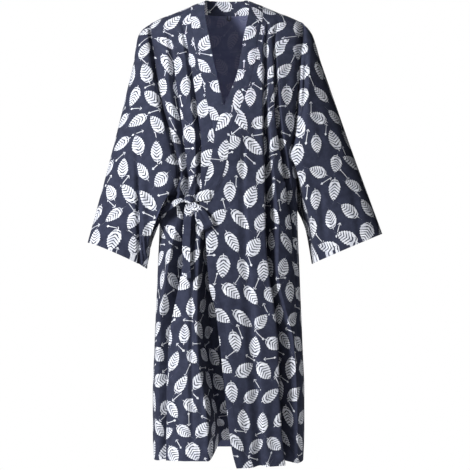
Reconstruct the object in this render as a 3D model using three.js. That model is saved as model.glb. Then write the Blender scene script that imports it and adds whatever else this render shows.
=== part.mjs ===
// Long wrap robe with wide kimono sleeves, filled out as worn, with nobody in it.
// Millimetres, +Z up. The front faces -Y, and +X is the wearer's left.
// The origin is between the two points where the neckband meets the shoulder seams.
import * as THREE from 'three';
import { mergeVertices } from 'three/addons/utils/BufferGeometryUtils.js';

// Driving sizes of the cloth
const wall = 1.8; // cloth wall
const seamGap = 0.34; // space between two pieces at a seam
const bandWidth = 36; // neckband, seam to free edge
const overlapLift = 5; // the left front lies this far outside the right front
const ringPower = 2.4; // how square the body's rings are
const bodyCentre = 4; // the body hangs this far to +X of the neck
const hemLevel = -1130;

// Shoulder line: flat across the neck points, then falling to the sleeve heads
const neckHalf = 88;
const shoulderFall = 0.43; // fall for each mm outwards
const napeRise = 38; // height of the unseen ridge over the neck opening
const backNeckDrop = 15;

// Body rings by height: half width, and depth of the front and of the back
const bodyRings = [
  { z: -1140, half: 186, front: 121, back: 118 },
  { z: -1060, half: 189, front: 121, back: 118 },
  { z: -960, half: 189, front: 119, back: 115 },
  { z: -860, half: 185, front: 117, back: 112 },
  { z: -740, half: 180, front: 114, back: 107 },
  { z: -640, half: 176, front: 112, back: 103 },
  { z: -540, half: 172, front: 110, back: 99 },
  { z: -460, half: 171, front: 109, back: 98 },
  { z: -380, half: 174, front: 108, back: 100 },
  { z: -300, half: 183, front: 107, back: 103 },
  { z: -200, half: 200, front: 102, back: 104 },
  { z: -100, half: 214, front: 97, back: 102 },
  { z: 20, half: 220, front: 95, back: 100 },
];

// How full a ring is, by distance below the shoulder line
const fullness = [
  { drop: 0, share: 0 },
  { drop: 6, share: 0.17 },
  { drop: 20, share: 0.33 },
  { drop: 50, share: 0.53 },
  { drop: 100, share: 0.72 },
  { drop: 180, share: 0.91 },
  { drop: 280, share: 1 },
  { drop: 1300, share: 1 },
];

// Side edges of the body panels: the armhole above the underarm, the side seam below it
const underarmRight = -486;
const underarmLeft = -408;
const armholeRight = [
  { z: -486, x: -167 },
  { z: -474, x: -152 },
  { z: -463, x: -130 },
  { z: -448, x: -118 },
  { z: -412, x: -116 },
  { z: -364, x: -129 },
  { z: -308, x: -143 },
  { z: -254, x: -159 },
  { z: -191, x: -172 },
  { z: -116, x: -183 },
  { z: -47, x: -190 },
  { z: 10, x: -190 },
];
const armholeLeft = [
  { z: -408, x: 177 },
  { z: -398, x: 165 },
  { z: -389, x: 155 },
  { z: -378, x: 150 },
  { z: -355, x: 157 },
  { z: -315, x: 164 },
  { z: -241, x: 171 },
  { z: -141, x: 180 },
  { z: -45, x: 190 },
  { z: 10, x: 190 },
];

// Front edges of the two fronts: the neckband's seam down to the waist, then the free edge
const bandEndRight = { seamZ: -486, seamX: 7, edgeZ: -520, edgeX: 48 };
const bandEndLeft = { seamZ: -462, seamX: -25, edgeZ: -486, edgeX: -64 };
const edgeRight = [
  { z: -1140, x: 84 },
  { z: -850, x: 72 },
  { z: -600, x: 56 },
  { z: bandEndRight.edgeZ, x: bandEndRight.edgeX },
  { z: bandEndRight.seamZ, x: bandEndRight.seamX },
  { z: -380, x: -17 },
  { z: -279, x: -40 },
  { z: -191, x: -60 },
  { z: -118, x: -75 },
  { z: -67, x: -84 },
  { z: -32, x: -88 },
  { z: 0, x: -88 },
  { z: 20, x: -88 },
];
const edgeLeft = [
  { z: -1140, x: 26 },
  { z: -1090, x: 13 },
  { z: -991, x: 0 },
  { z: -854, x: -14 },
  { z: -750, x: -27 },
  { z: -695, x: -41 },
  { z: -558, x: -51 },
  { z: bandEndLeft.edgeZ, x: bandEndLeft.edgeX },
  { z: bandEndLeft.seamZ, x: bandEndLeft.seamX },
  { z: -389, x: 0 },
  { z: -323, x: 10 },
  { z: -267, x: 30 },
  { z: -193, x: 59 },
  { z: -116, x: 73 },
  { z: -67, x: 81 },
  { z: -32, x: 87 },
  { z: 0, x: 88 },
  { z: 20, x: 88 },
];

// Folds: a row for each height with the trough's place, half width and depth
const foldArmRight = [
  { z: -60, x: -146, half: 8, depth: 0 },
  { z: -116, x: -137, half: 8, depth: 7 },
  { z: -191, x: -132, half: 9, depth: 10 },
  { z: -241, x: -124, half: 10, depth: 13 },
  { z: -300, x: -113, half: 10, depth: 18 },
  { z: -364, x: -105, half: 10, depth: 23 },
  { z: -412, x: -101, half: 10, depth: 24 },
  { z: -470, x: -99, half: 12, depth: 20 },
  { z: -558, x: -103, half: 15, depth: 28 },
  { z: -606, x: -112, half: 17, depth: 32 },
  { z: -678, x: -123, half: 17, depth: 32 },
  { z: -751, x: -139, half: 14, depth: 26 },
  { z: -823, x: -152, half: 11, depth: 16 },
  { z: -900, x: -160, half: 9, depth: 8 },
  { z: -1140, x: -164, half: 8, depth: 3 },
];
const foldHipRight = [
  { z: -60, x: -127, half: 5, depth: 0 },
  { z: -200, x: -109, half: 5, depth: 0 },
  { z: -440, x: -82, half: 5, depth: 0 },
  { z: -640, x: -90, half: 6, depth: 0 },
  { z: -740, x: -108, half: 8, depth: 5 },
  { z: -860, x: -118, half: 10, depth: 13 },
  { z: -1000, x: -120, half: 9, depth: 12 },
  { z: -1140, x: -126, half: 8, depth: 15 },
];
const foldBreastRight = [
  { z: -40, x: -112, half: 5, depth: 0 },
  { z: -116, x: -98, half: 6, depth: 6 },
  { z: -191, x: -86, half: 6, depth: 9 },
  { z: -267, x: -75, half: 6, depth: 11 },
  { z: -364, x: -65, half: 7, depth: 13 },
  { z: -449, x: -68, half: 6, depth: 10 },
  { z: -560, x: -80, half: 5, depth: 4 },
  { z: -700, x: -84, half: 6, depth: 4 },
  { z: -860, x: -86, half: 7, depth: 6 },
  { z: -1000, x: -84, half: 7, depth: 5 },
  { z: -1140, x: -80, half: 7, depth: 0 },
];
// The deep trough beside the overlap: crest of its near wall, and depth
const wrapTrough = [
  { z: 0, x: -99, run: 5, depth: 0 },
  { z: -60, x: -95, run: 5, depth: 0 },
  { z: -116, x: -86, run: 5, depth: 0 },
  { z: -191, x: -73, run: 6, depth: 0 },
  { z: -279, x: -58, run: 8, depth: 0 },
  { z: -364, x: -52, run: 16, depth: 0 },
  { z: -430, x: -56, run: 22, depth: 4 },
  { z: -500, x: -66, run: 22, depth: 24 },
  { z: -570, x: -64, run: 22, depth: 48 },
  { z: -700, x: -64, run: 24, depth: 62 },
  { z: -800, x: -62, run: 30, depth: 70 },
  { z: -900, x: -56, run: 34, depth: 78 },
  { z: -1010, x: -38, run: 30, depth: 88 },
  { z: -1140, x: -35, run: 30, depth: 98 },
];
const foldBreastLeft = [
  { z: -50, x: 106, half: 7, depth: 0 },
  { z: -105, x: 99, half: 8, depth: 8 },
  { z: -267, x: 97, half: 8, depth: 12 },
  { z: -330, x: 99, half: 9, depth: 14 },
  { z: -401, x: 104, half: 11, depth: 18 },
  { z: -473, x: 108, half: 14, depth: 24 },
  { z: -552, x: 114, half: 17, depth: 30 },
  { z: -620, x: 114, half: 14, depth: 24 },
  { z: -680, x: 116, half: 11, depth: 18 },
  { z: -740, x: 128, half: 13, depth: 22 },
  { z: -835, x: 140, half: 17, depth: 30 },
  { z: -968, x: 147, half: 17, depth: 34 },
  { z: -1060, x: 152, half: 13, depth: 28 },
  { z: -1140, x: 156, half: 9, depth: 18 },
];
const foldArmLeft = [
  { z: -40, x: 128, half: 5, depth: 0 },
  { z: -100, x: 121, half: 6, depth: 5 },
  { z: -204, x: 125, half: 7, depth: 9 },
  { z: -286, x: 128, half: 7, depth: 12 },
  { z: -340, x: 134, half: 7, depth: 13 },
  { z: -388, x: 140, half: 7, depth: 13 },
  { z: -461, x: 151, half: 7, depth: 12 },
  { z: -520, x: 160, half: 6, depth: 8 },
  { z: -600, x: 165, half: 5, depth: 2 },
  { z: -1140, x: 177, half: 4, depth: 0 },
];
const foldLapLeft = [
  { z: -60, x: 93, half: 2, depth: 0 },
  { z: -267, x: 56, half: 6, depth: 0 },
  { z: -420, x: 40, half: 10, depth: 2 },
  { z: -640, x: 48, half: 16, depth: 5 },
  { z: -800, x: 62, half: 18, depth: 8 },
  { z: -960, x: 74, half: 18, depth: 7 },
  { z: -1140, x: 84, half: 18, depth: 10 },
];
// Soft folds of the back, from the shoulder blades and the waist down
const backFolds = [
  [
    { z: -160, x: -112, half: 14, depth: 0 },
    { z: -380, x: -94, half: 14, depth: 8 },
    { z: -480, x: -94, half: 16, depth: 10 },
    { z: -760, x: -118, half: 22, depth: 15 },
    { z: -1140, x: -126, half: 24, depth: 22 },
  ],
  [
    { z: -260, x: -34, half: 20, depth: 0 },
    { z: -480, x: -40, half: 20, depth: 7 },
    { z: -760, x: -46, half: 22, depth: 11 },
    { z: -1140, x: -48, half: 24, depth: 15 },
  ],
  [
    { z: -220, x: 44, half: 20, depth: 0 },
    { z: -470, x: 36, half: 20, depth: 8 },
    { z: -760, x: 34, half: 22, depth: 13 },
    { z: -1140, x: 38, half: 24, depth: 19 },
  ],
  [
    { z: -140, x: 116, half: 16, depth: 0 },
    { z: -420, x: 112, half: 18, depth: 10 },
    { z: -760, x: 120, half: 22, depth: 14 },
    { z: -1140, x: 128, half: 24, depth: 20 },
  ],
];

// Height through a table of rows: a cubic that keeps each row's value
function along(rows, key, column, at) {
  const up = rows[0][key] <= rows[rows.length - 1][key];
  const sorted = up ? rows : [...rows].reverse();
  const last = sorted.length - 1;
  if (at <= sorted[0][key]) return sorted[0][column];
  if (at >= sorted[last][key]) return sorted[last][column];
  let low = 0;
  while (sorted[low + 1][key] < at) low += 1;
  const slope = (i) => {
    const step = sorted[i + 1][key] - sorted[i][key];
    return (sorted[i + 1][column] - sorted[i][column]) / step;
  };
  const here = slope(low);
  const tangent = (i) => {
    if (i === 0 || i === last) return i === 0 ? slope(0) : slope(last - 1);
    const before = slope(i - 1);
    const after = slope(i);
    if (before * after <= 0) return 0;
    return (2 * before * after) / (before + after);
  };
  const span = sorted[low + 1][key] - sorted[low][key];
  const t = (at - sorted[low][key]) / span;
  const m0 = tangent(low) - here;
  const m1 = tangent(low + 1) - here;
  const bend = t * (1 - t) * ((1 - t) * m0 - t * m1) * span;
  return sorted[low][column] + here * span * t + bend;
}

const smoothStep = (t) => {
  const clamped = Math.min(1, Math.max(0, t));
  return clamped * clamped * (3 - 2 * clamped);
};
const mix = (a, b, t) => a + (b - a) * t;

// Height of the shoulder seam's line, and its ridge carried over the neck opening
const shoulderLine = (x) => -shoulderFall * Math.max(0, Math.abs(x) - neckHalf);
function shoulderRidge(x) {
  const share = Math.min(1, Math.abs(x) / neckHalf);
  return shoulderLine(x) + napeRise * (1 - share * share);
}

// Share of a trough's depth at a place across it
function troughShare(rows, x, z) {
  const offset = Math.abs(x - along(rows, 'z', 'x', z)) / along(rows, 'z', 'half', z);
  return offset >= 1 ? 0 : Math.cos((offset * Math.PI) / 2) ** 2;
}
const troughDepth = (rows, x, z) => along(rows, 'z', 'depth', z) * troughShare(rows, x, z);

// A point of a body ring, moved inwards by a depth; side -1 is the front, 1 the back
function ringPoint(angle, z, side, inwards) {
  const half = along(bodyRings, 'z', 'half', z);
  const sine = Math.sin(angle);
  const acrossShare = Math.sign(sine) * Math.abs(sine) ** (2 / ringPower);
  const x = bodyCentre + half * acrossShare;
  const full = along(fullness, 'drop', 'share', shoulderRidge(x) - z);
  const depth = along(bodyRings, 'z', side < 0 ? 'front' : 'back', z) * full;
  const depthShare = Math.abs(Math.cos(angle)) ** (2 / ringPower);
  const power = ringPower - 1;
  const outX = (Math.sign(acrossShare) * Math.abs(acrossShare) ** power) / half;
  const outY = (side * depthShare ** power) / Math.max(depth, 1);
  const size = Math.hypot(outX, outY);
  return new THREE.Vector3(
    x - (inwards * outX) / size,
    side * (depth * depthShare + seamGap / 2) - (inwards * outY) / size,
    z,
  );
}

// The ring angle at which a body ring passes a place across the body
function angleAt(x, z) {
  const half = along(bodyRings, 'z', 'half', z);
  const share = Math.min(1, Math.abs(x - bodyCentre) / half);
  return Math.sign(x - bodyCentre) * Math.asin(share ** (ringPower / 2));
}

// Rows of a body panel from hem to shoulder: height, and how far it follows the top line
const panelRows = [
  { level: hemLevel, follow: 0 },
  { level: -1085, follow: 0 },
  { level: -1020, follow: 0 },
  { level: -950, follow: 0 },
  { level: -880, follow: 0 },
  { level: -810, follow: 0 },
  { level: -745, follow: 0 },
  { level: -685, follow: 0 },
  { level: -625, follow: 0 },
  { level: -570, follow: 0 },
  { level: -520, follow: 0 },
  { level: -486, follow: 0 },
  { level: -474, follow: 0 },
  { level: -462, follow: 0 },
  { level: -446, follow: 0 },
  { level: -408, follow: 0 },
  { level: -398, follow: 0 },
  { level: -389, follow: 0 },
  { level: -378, follow: 0 },
  { level: -350, follow: 0 },
  { level: -310, follow: 0 },
  { level: -265, follow: 0.1 },
  { level: -215, follow: 0.2 },
  { level: -165, follow: 0.35 },
  { level: -115, follow: 0.55 },
  { level: -75, follow: 0.8 },
  { level: -42, follow: 1 },
  { level: -18, follow: 1 },
  { level: -6, follow: 1 },
  { level: 0, follow: 1 },
];
const rightRows = panelRows.filter(({ level }) => ![-398, -389].includes(level));
const leftRows = panelRows.filter(({ level }) => ![-474, -446].includes(level));

// A column's place in a row: its height depends on where the top line is above it
function placeIn(row, acrossAt, topLine) {
  let z = row.level;
  let x = acrossAt(z);
  for (let turn = 0; turn < 4; turn += 1) {
    z = row.level + row.follow * topLine(x);
    x = acrossAt(z);
  }
  return { x, z };
}

// Guides that follow a fold down a panel: its two shoulders and its trough
function foldGuides(rows) {
  const place = (z) => along(rows, 'z', 'x', z);
  const half = (z) => along(rows, 'z', 'half', z);
  return [(z) => place(z) - half(z), place, (z) => place(z) + half(z)];
}

// The outer points of a panel, a line of points for each row
function panelGrid({ rows, guides, steps, pointAt, sideAngle, topLine }) {
  return rows.map((row) => {
    const places = guides.map((guide) => placeIn(row, guide, topLine));
    const angles = places.map(({ x, z }, i) => sideAngle(i, z) ?? angleAt(x, z));
    const line = [];
    places.forEach((place, i) => {
      if (i === 0) return;
      const count = steps[i - 1];
      const first = i === 1 ? 0 : 1;
      for (let k = first; k <= count; k += 1) {
        const t = k / count;
        const angle = mix(angles[i - 1], angles[i], t);
        line.push(pointAt(angle, mix(places[i - 1].z, place.z, t)));
      }
    });
    return line;
  });
}

// Unit normals of a grid of points, facing away from the wearer
function gridNormals(grid, closed) {
  const rowCount = grid.length;
  const count = grid[0].length;
  return grid.map((line, j) =>
    line.map((point, i) => {
      const left = closed ? line[(i + count - 1) % count] : line[Math.max(0, i - 1)];
      const right = closed ? line[(i + 1) % count] : line[Math.min(count - 1, i + 1)];
      const below = grid[Math.max(0, j - 1)][i];
      const above = grid[Math.min(rowCount - 1, j + 1)][i];
      const across = new THREE.Vector3().subVectors(right, left);
      const upwards = new THREE.Vector3().subVectors(above, below);
      return across.cross(upwards).normalize();
    }),
  );
}

// A closed wall from its outer points: the inner points lie one wall inside them
function wallGeometry(outer, normals, closed) {
  const rowCount = outer.length;
  const count = outer[0].length;
  const points = [];
  outer.forEach((line) => line.forEach((point) => points.push(point)));
  outer.forEach((line, j) =>
    line.forEach((point, i) => {
      points.push(point.clone().addScaledVector(normals[j][i], -wall));
    }),
  );
  const layer = rowCount * count;
  const index = (j, i, inner) => (inner ? layer : 0) + j * count + (i % count);
  const triangles = [];
  const quad = (a, b, c, d) => triangles.push(a, b, c, a, c, d);
  const spans = closed ? count : count - 1;
  for (let j = 0; j + 1 < rowCount; j += 1) {
    for (let i = 0; i < spans; i += 1) {
      quad(index(j, i), index(j, i + 1), index(j + 1, i + 1), index(j + 1, i));
      quad(
        index(j, i, true),
        index(j + 1, i, true),
        index(j + 1, i + 1, true),
        index(j, i + 1, true),
      );
    }
  }
  const top = rowCount - 1;
  for (let i = 0; i < spans; i += 1) {
    quad(index(0, i), index(0, i, true), index(0, i + 1, true), index(0, i + 1));
    quad(index(top, i), index(top, i + 1), index(top, i + 1, true), index(top, i, true));
  }
  const end = count - 1;
  for (let j = 0; !closed && j + 1 < rowCount; j += 1) {
    quad(index(j, 0), index(j + 1, 0), index(j + 1, 0, true), index(j, 0, true));
    quad(index(j, end), index(j, end, true), index(j + 1, end, true), index(j + 1, end));
  }
  const geometry = new THREE.BufferGeometry();
  const flat = points.flatMap((point) => [point.x, point.y, point.z]);
  geometry.setAttribute('position', new THREE.Float32BufferAttribute(flat, 3));
  geometry.setIndex(triangles);
  geometry.computeVertexNormals();
  return geometry;
}

const robe = new THREE.Group();
const printedCloth = new THREE.MeshStandardMaterial({
  color: 0x3a3f5c,
  roughness: 0.88,
  metalness: 0,
});
const plainTape = new THREE.MeshStandardMaterial({
  color: 0x14161f,
  roughness: 0.7,
  metalness: 0,
});

function addPiece(name, geometry, material = printedCloth) {
  const mesh = new THREE.Mesh(geometry, material);
  mesh.name = name;
  robe.add(mesh);
}

// A folded edge lifts the hem a little where the cloth runs inwards
const hemShare = 0.12;
const troughHemShare = 0.35;
const rightHemRise = 14;
const nearHem = (z) => smoothStep((-1000 - z) / (-1000 - hemLevel));
const foldSum = (folds, x, z) => folds.reduce((sum, rows) => sum + troughDepth(rows, x, z), 0);

// Right front: it lies under the left one and drops into the deep trough beside the wrap
function wrapTroughDepth(x, z) {
  const crest = along(wrapTrough, 'z', 'x', z);
  const run = along(wrapTrough, 'z', 'run', z);
  const open = smoothStep((x - crest) / run);
  const beyond = smoothStep((x - crest - run - 40) / 120);
  return along(wrapTrough, 'z', 'depth', z) * open * (1 - 0.6 * beyond);
}
function rightFrontPoint(angle, z) {
  const { x } = ringPoint(angle, z, -1, 0);
  const inwards = foldSum([foldArmRight, foldHipRight, foldBreastRight], x, z);
  const trough = wrapTroughDepth(x, z);
  const point = ringPoint(angle, z, -1, inwards + trough);
  const rise = hemShare * inwards + troughHemShare * trough + rightHemRise * Math.cos(angle);
  point.z += nearHem(z) * rise;
  return point;
}
const rightFront = panelGrid({
  rows: rightRows,
  guides: [
    (z) => along(armholeRight, 'z', 'x', z),
    ...foldGuides(foldArmRight),
    ...foldGuides(foldHipRight),
    ...foldGuides(foldBreastRight),
    (z) => along(wrapTrough, 'z', 'x', z),
    (z) => along(wrapTrough, 'z', 'x', z) + along(wrapTrough, 'z', 'run', z),
    (z) => along(edgeRight, 'z', 'x', z),
  ],
  steps: [2, 1, 1, 1, 1, 1, 1, 1, 1, 1, 3, 4],
  pointAt: rightFrontPoint,
  sideAngle: (i, z) => (i === 0 && z <= underarmRight ? -Math.PI / 2 : undefined),
  topLine: shoulderLine,
});

// Left front: it wraps over the right one, and its free edge stands proud
const edgeStand = [
  { z: -1140, stand: 10 },
  { z: -800, stand: 7 },
  { z: -560, stand: 6 },
  { z: -486, stand: 3 },
  { z: -440, stand: 4 },
  { z: -360, stand: 11 },
  { z: -290, stand: 3 },
  { z: -200, stand: 0 },
];
function overlapOut(angle, x, z) {
  const sideFade = smoothStep((Math.PI / 2 - angle) / 0.7);
  const lift = overlapLift * smoothStep((-90 - z) / 150);
  const fromEdge = Math.max(0, x - along(edgeLeft, 'z', 'x', z));
  const stand = along(edgeStand, 'z', 'stand', z) * (1 - smoothStep(fromEdge / 70));
  return sideFade * lift + stand;
}
function leftFrontPoint(angle, z) {
  const { x } = ringPoint(angle, z, -1, 0);
  const inwards = foldSum([foldLapLeft, foldBreastLeft, foldArmLeft], x, z);
  const point = ringPoint(angle, z, -1, inwards - overlapOut(angle, x, z));
  point.z += nearHem(z) * hemShare * inwards;
  return point;
}
const leftFront = panelGrid({
  rows: leftRows,
  guides: [
    (z) => along(edgeLeft, 'z', 'x', z),
    ...foldGuides(foldLapLeft),
    ...foldGuides(foldBreastLeft),
    ...foldGuides(foldArmLeft),
    (z) => along(armholeLeft, 'z', 'x', z),
  ],
  steps: [3, 1, 1, 2, 1, 1, 1, 1, 1, 2],
  pointAt: leftFrontPoint,
  sideAngle: (i, z) => (i === 10 && z <= underarmLeft ? Math.PI / 2 : undefined),
  topLine: shoulderLine,
});

// Back: one panel from side to side, cut down a little at the neck
const backHemRise = 8;
function backTop(x) {
  const share = Math.abs(x) / neckHalf;
  return share < 1 ? -backNeckDrop * (1 - share ** 4) : shoulderLine(x);
}
function backPoint(angle, z) {
  const { x } = ringPoint(angle, z, 1, 0);
  const inwards = foldSum(backFolds, x, z);
  const point = ringPoint(angle, z, 1, inwards);
  point.z += nearHem(z) * (hemShare * inwards + backHemRise * Math.cos(angle));
  return point;
}
const neckGuide = (side) => () => side * neckHalf;
const back = panelGrid({
  rows: panelRows,
  guides: [
    (z) => along(armholeLeft, 'z', 'x', z),
    ...foldGuides(backFolds[3]).reverse(),
    neckGuide(1),
    ...foldGuides(backFolds[2]).reverse(),
    ...foldGuides(backFolds[1]).reverse(),
    neckGuide(-1),
    ...foldGuides(backFolds[0]).reverse(),
    (z) => along(armholeRight, 'z', 'x', z),
  ],
  steps: [2, 1, 1, 1, 1, 1, 1, 1, 1, 1, 1, 1, 1, 1, 2],
  pointAt: backPoint,
  sideAngle: (i, z) => {
    if (i === 0 && z <= underarmLeft) return Math.PI / 2;
    return i === 15 && z <= underarmRight ? -Math.PI / 2 : undefined;
  },
  topLine: backTop,
});

// Seams where two panels meet edge to edge: their walls end square to the seam
function squareSeams(grid, normals, shoulderColumns) {
  const top = grid.length - 1;
  const square = (normal) => {
    normal.y = 0;
    normal.normalize();
  };
  grid.forEach((line, j) =>
    line.forEach((point, i) => {
      const onSideSeam = Math.abs(point.y) < seamGap;
      const onShoulder = j === top && shoulderColumns(i, point);
      if (onSideSeam || onShoulder) square(normals[j][i]);
    }),
  );
}
const onShoulderSeam = (i, point) => Math.abs(point.x) >= neckHalf - 1;
const rightNormals = gridNormals(rightFront, false);
const leftNormals = gridNormals(leftFront, false);
const backNormals = gridNormals(back, false);
squareSeams(rightFront, rightNormals, onShoulderSeam);
squareSeams(leftFront, leftNormals, onShoulderSeam);
squareSeams(back, backNormals, onShoulderSeam);

// Two walls that meet at a slight angle share the angle between their ends
function shareNormals(first, second) {
  if (first.dot(second) < 0.3) return;
  const shared = new THREE.Vector3().addVectors(first, second).normalize();
  first.copy(shared);
  second.copy(shared);
}

// The neckband: up the right front, round the back of the neck, down the left front
const last = (line) => line[line.length - 1];
const seamStations = [];
rightFront.forEach((line, j) => {
  if (rightRows[j].level < bandEndRight.seamZ) return;
  seamStations.push({ point: last(line), normal: last(rightNormals[j]), part: -1 });
});
const topRow = back[back.length - 1];
const topNormals = backNormals[back.length - 1];
for (let i = topRow.length - 1; i >= 0; i -= 1) {
  if (Math.abs(topRow[i].x) < neckHalf - 1) {
    seamStations.push({ point: topRow[i], normal: topNormals[i], part: 0 });
  }
}
[...leftFront].reverse().forEach((line, k) => {
  const j = leftFront.length - 1 - k;
  if (leftRows[j].level < bandEndLeft.seamZ) return;
  seamStations.push({ point: line[0], normal: leftNormals[j][0], part: 1 });
});

// Where the band stands up, by the share of the way from the nape to the neck point
function standingWay(x) {
  const share = Math.min(1, Math.abs(x) / neckHalf);
  const up = mix(0.95, 0.42, share ** 3);
  const inwards = mix(0.05, 0.9, share ** 2);
  return new THREE.Vector3(-Math.sign(x) * inwards, -0.16 * (1 - share), up).normalize();
}
function bandEdge(station, way) {
  const { point, part } = station;
  const stood = point.clone().addScaledVector(standingWay(point.x), bandWidth);
  if (part === 0) return stood;
  const x = point.x - part * bandWidth * Math.abs(way.z);
  const z = point.z + bandWidth * part * way.x * Math.sign(way.z || 1);
  const angle = angleAt(x, z);
  const laid = part < 0 ? ringPoint(angle, z, -1, 0) : leftFrontPoint(angle, z);
  laid.y += part > 0 ? -1 : 0;
  return laid.lerp(stood, smoothStep((z + 105) / 105));
}
const bandSpans = 3;
const bandGap = 0.5;
const napeGap = 0.9; // the band stands up from the back, so its wall needs more room
const neckband = seamStations.map((station, k) => {
  const before = seamStations[Math.max(0, k - 1)].point;
  const after = seamStations[Math.min(seamStations.length - 1, k + 1)].point;
  const way = new THREE.Vector3().subVectors(after, before).setY(0).normalize();
  let edge = bandEdge(station, way);
  const start = station.point.clone();
  if (k === 0) {
    start.addScaledVector(way, seamGap);
    const { edgeX, edgeZ } = bandEndRight;
    edge = ringPoint(angleAt(edgeX - 2, edgeZ + 3), edgeZ + 3, -1, 0);
  }
  if (k === seamStations.length - 1) {
    start.addScaledVector(way, -seamGap);
    const { edgeX, edgeZ } = bandEndLeft;
    edge = leftFrontPoint(angleAt(edgeX + 1, edgeZ + 2), edgeZ + 2);
  }
  const across = new THREE.Vector3().subVectors(edge, start);
  const gap = station.part === 0 ? napeGap : bandGap;
  const gapShare = gap / across.length();
  return Array.from({ length: bandSpans + 1 }, (_, i) => {
    const t = gapShare + (1 - gapShare) * (i / bandSpans);
    return start.clone().addScaledVector(across, t);
  });
});
const bandNormals = gridNormals(neckband, false);
seamStations.forEach((station, k) => shareNormals(station.normal, bandNormals[k][0]));

// Sleeves: each a tube from the armhole to the cuff, swelling out between them
const sleeveShares = [0, 0.012, 0.03, 0.06, 0.11, 0.18, 0.27, 0.38, 0.52, 0.68, 0.84, 1];
// Swell along the sleeve, for its top line and for its lower front and back
const swellAlong = [
  { share: 0, top: 0, low: 0 },
  { share: 0.012, top: 0.35, low: 0.12 },
  { share: 0.03, top: 0.75, low: 0.25 },
  { share: 0.06, top: 1, low: 0.45 },
  { share: 0.11, top: 0.92, low: 0.7 },
  { share: 0.18, top: 0.66, low: 0.9 },
  { share: 0.27, top: 0.55, low: 1 },
  { share: 0.45, top: 0.36, low: 0.85 },
  { share: 0.71, top: 0.12, low: 0.45 },
  { share: 1, top: 0, low: 0 },
];
// Swell round the armhole, from the shoulder (0) to the underarm (1)
const swellRound = [
  { round: 0, size: 20, outX: 1, outY: 0, low: 0 },
  { round: 0.15, size: 18, outX: 0.8, outY: 0.6, low: 0.2 },
  { round: 0.4, size: 16, outX: 0.4, outY: 0.92, low: 0.6 },
  { round: 0.7, size: 22, outX: 0.4, outY: 0.92, low: 1 },
  { round: 0.82, size: 26, outX: 0.5, outY: 0.87, low: 1 },
  { round: 0.93, size: 14, outX: 0.8, outY: 0.6, low: 1 },
  { round: 1, size: 4, outX: 1, outY: 0, low: 1 },
];

function armholeLine(grid, normals, column, hand) {
  const from = grid.findIndex((line) => column(line).z >= hand.underarm - 1);
  return grid.slice(from).map((line, k) => ({
    point: column(line),
    normal: column(normals[from + k]),
  }));
}
function withRound(line, side) {
  let length = 0;
  const lengths = line.map(({ point }, k) => {
    if (k > 0) length += point.distanceTo(line[k - 1].point);
    return length;
  });
  return line.map((station, k) => ({ ...station, side, round: 1 - lengths[k] / length }));
}
function sleevePoint(station, hand, share) {
  const { point, side, round } = station;
  const turn = Math.PI * round;
  const cuff = new THREE.Vector3()
    .addVectors(hand.cuffOuter, hand.cuffInner)
    .multiplyScalar(0.5)
    .addScaledVector(
      new THREE.Vector3().subVectors(hand.cuffOuter, hand.cuffInner),
      Math.cos(turn) / 2,
    );
  cuff.y += side * hand.cuffDepth * Math.sin(turn) ** 0.8;
  cuff.z += hand.cuffRise * Math.sin(turn);
  const top = along(swellAlong, 'share', 'top', share);
  const low = along(swellAlong, 'share', 'low', share);
  const size = along(swellRound, 'round', 'size', round);
  const headShare = mix(hand.headSwell, 1, smoothStep(round * 2));
  const lowShare = along(swellRound, 'round', 'low', round);
  const swell = size * headShare * mix(top, low, lowShare);
  const outX = along(swellRound, 'round', 'outX', round);
  const outY = along(swellRound, 'round', 'outY', round);
  const result = new THREE.Vector3().lerpVectors(point, cuff, share);
  result.x += hand.sign * swell * outX;
  result.y += side * swell * outY;
  return result;
}
function buildSleeve(name, hand, frontLine, backLine) {
  const front = withRound(frontLine, -1);
  const rear = withRound(backLine, 1).slice(1, -1).reverse();
  const ring = hand.sign < 0 ? [...front, ...rear] : [...front, ...rear].reverse();
  const grid = sleeveShares.map((share) =>
    ring.map((station) => sleevePoint(station, hand, share)),
  );
  const normals = gridNormals(grid, true);
  ring.forEach((station, i) => {
    const level = Math.max(0, station.normal.dot(normals[0][i]));
    shareNormals(station.normal, normals[0][i]);
    const away = new THREE.Vector3().subVectors(grid[1][i], grid[0][i]).normalize();
    grid[0][i].addScaledVector(away, seamGap);
    grid[0][i].addScaledVector(station.normal, 1.5 * seamGap * (1 - level));
  });
  addPiece(name, wallGeometry(grid, normals, true));
}
const rightHand = {
  sign: -1,
  underarm: underarmRight,
  cuffOuter: new THREE.Vector3(-347, -6, -592),
  cuffInner: new THREE.Vector3(-200, 0, -657),
  cuffDepth: 58,
  cuffRise: 8,
  headSwell: 1.15,
};
const leftHand = {
  sign: 1,
  underarm: underarmLeft,
  cuffOuter: new THREE.Vector3(387, -6, -570),
  cuffInner: new THREE.Vector3(212, 0, -645),
  cuffDepth: 60,
  cuffRise: 4,
  headSwell: 0.65,
};
const first = (line) => line[0];
buildSleeve(
  'sleeve_right',
  rightHand,
  armholeLine(rightFront, rightNormals, first, rightHand),
  armholeLine(back, backNormals, last, rightHand),
);
buildSleeve(
  'sleeve_left',
  leftHand,
  armholeLine(leftFront, leftNormals, last, leftHand),
  armholeLine(back, backNormals, first, leftHand),
);

// Ribbons: a line of stations, each with its middle, and the way and half width across it
function ribbonGrid(stations, spans) {
  return stations.map(({ middle, across }) =>
    Array.from({ length: spans + 1 }, (_, i) =>
      middle.clone().addScaledVector(across, 1 - (2 * i) / spans),
    ),
  );
}
function addRibbon(name, stations, spans, material) {
  const grid = ribbonGrid(stations, spans);
  addPiece(name, wallGeometry(grid, gridNormals(grid, false), false), material);
}

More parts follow.
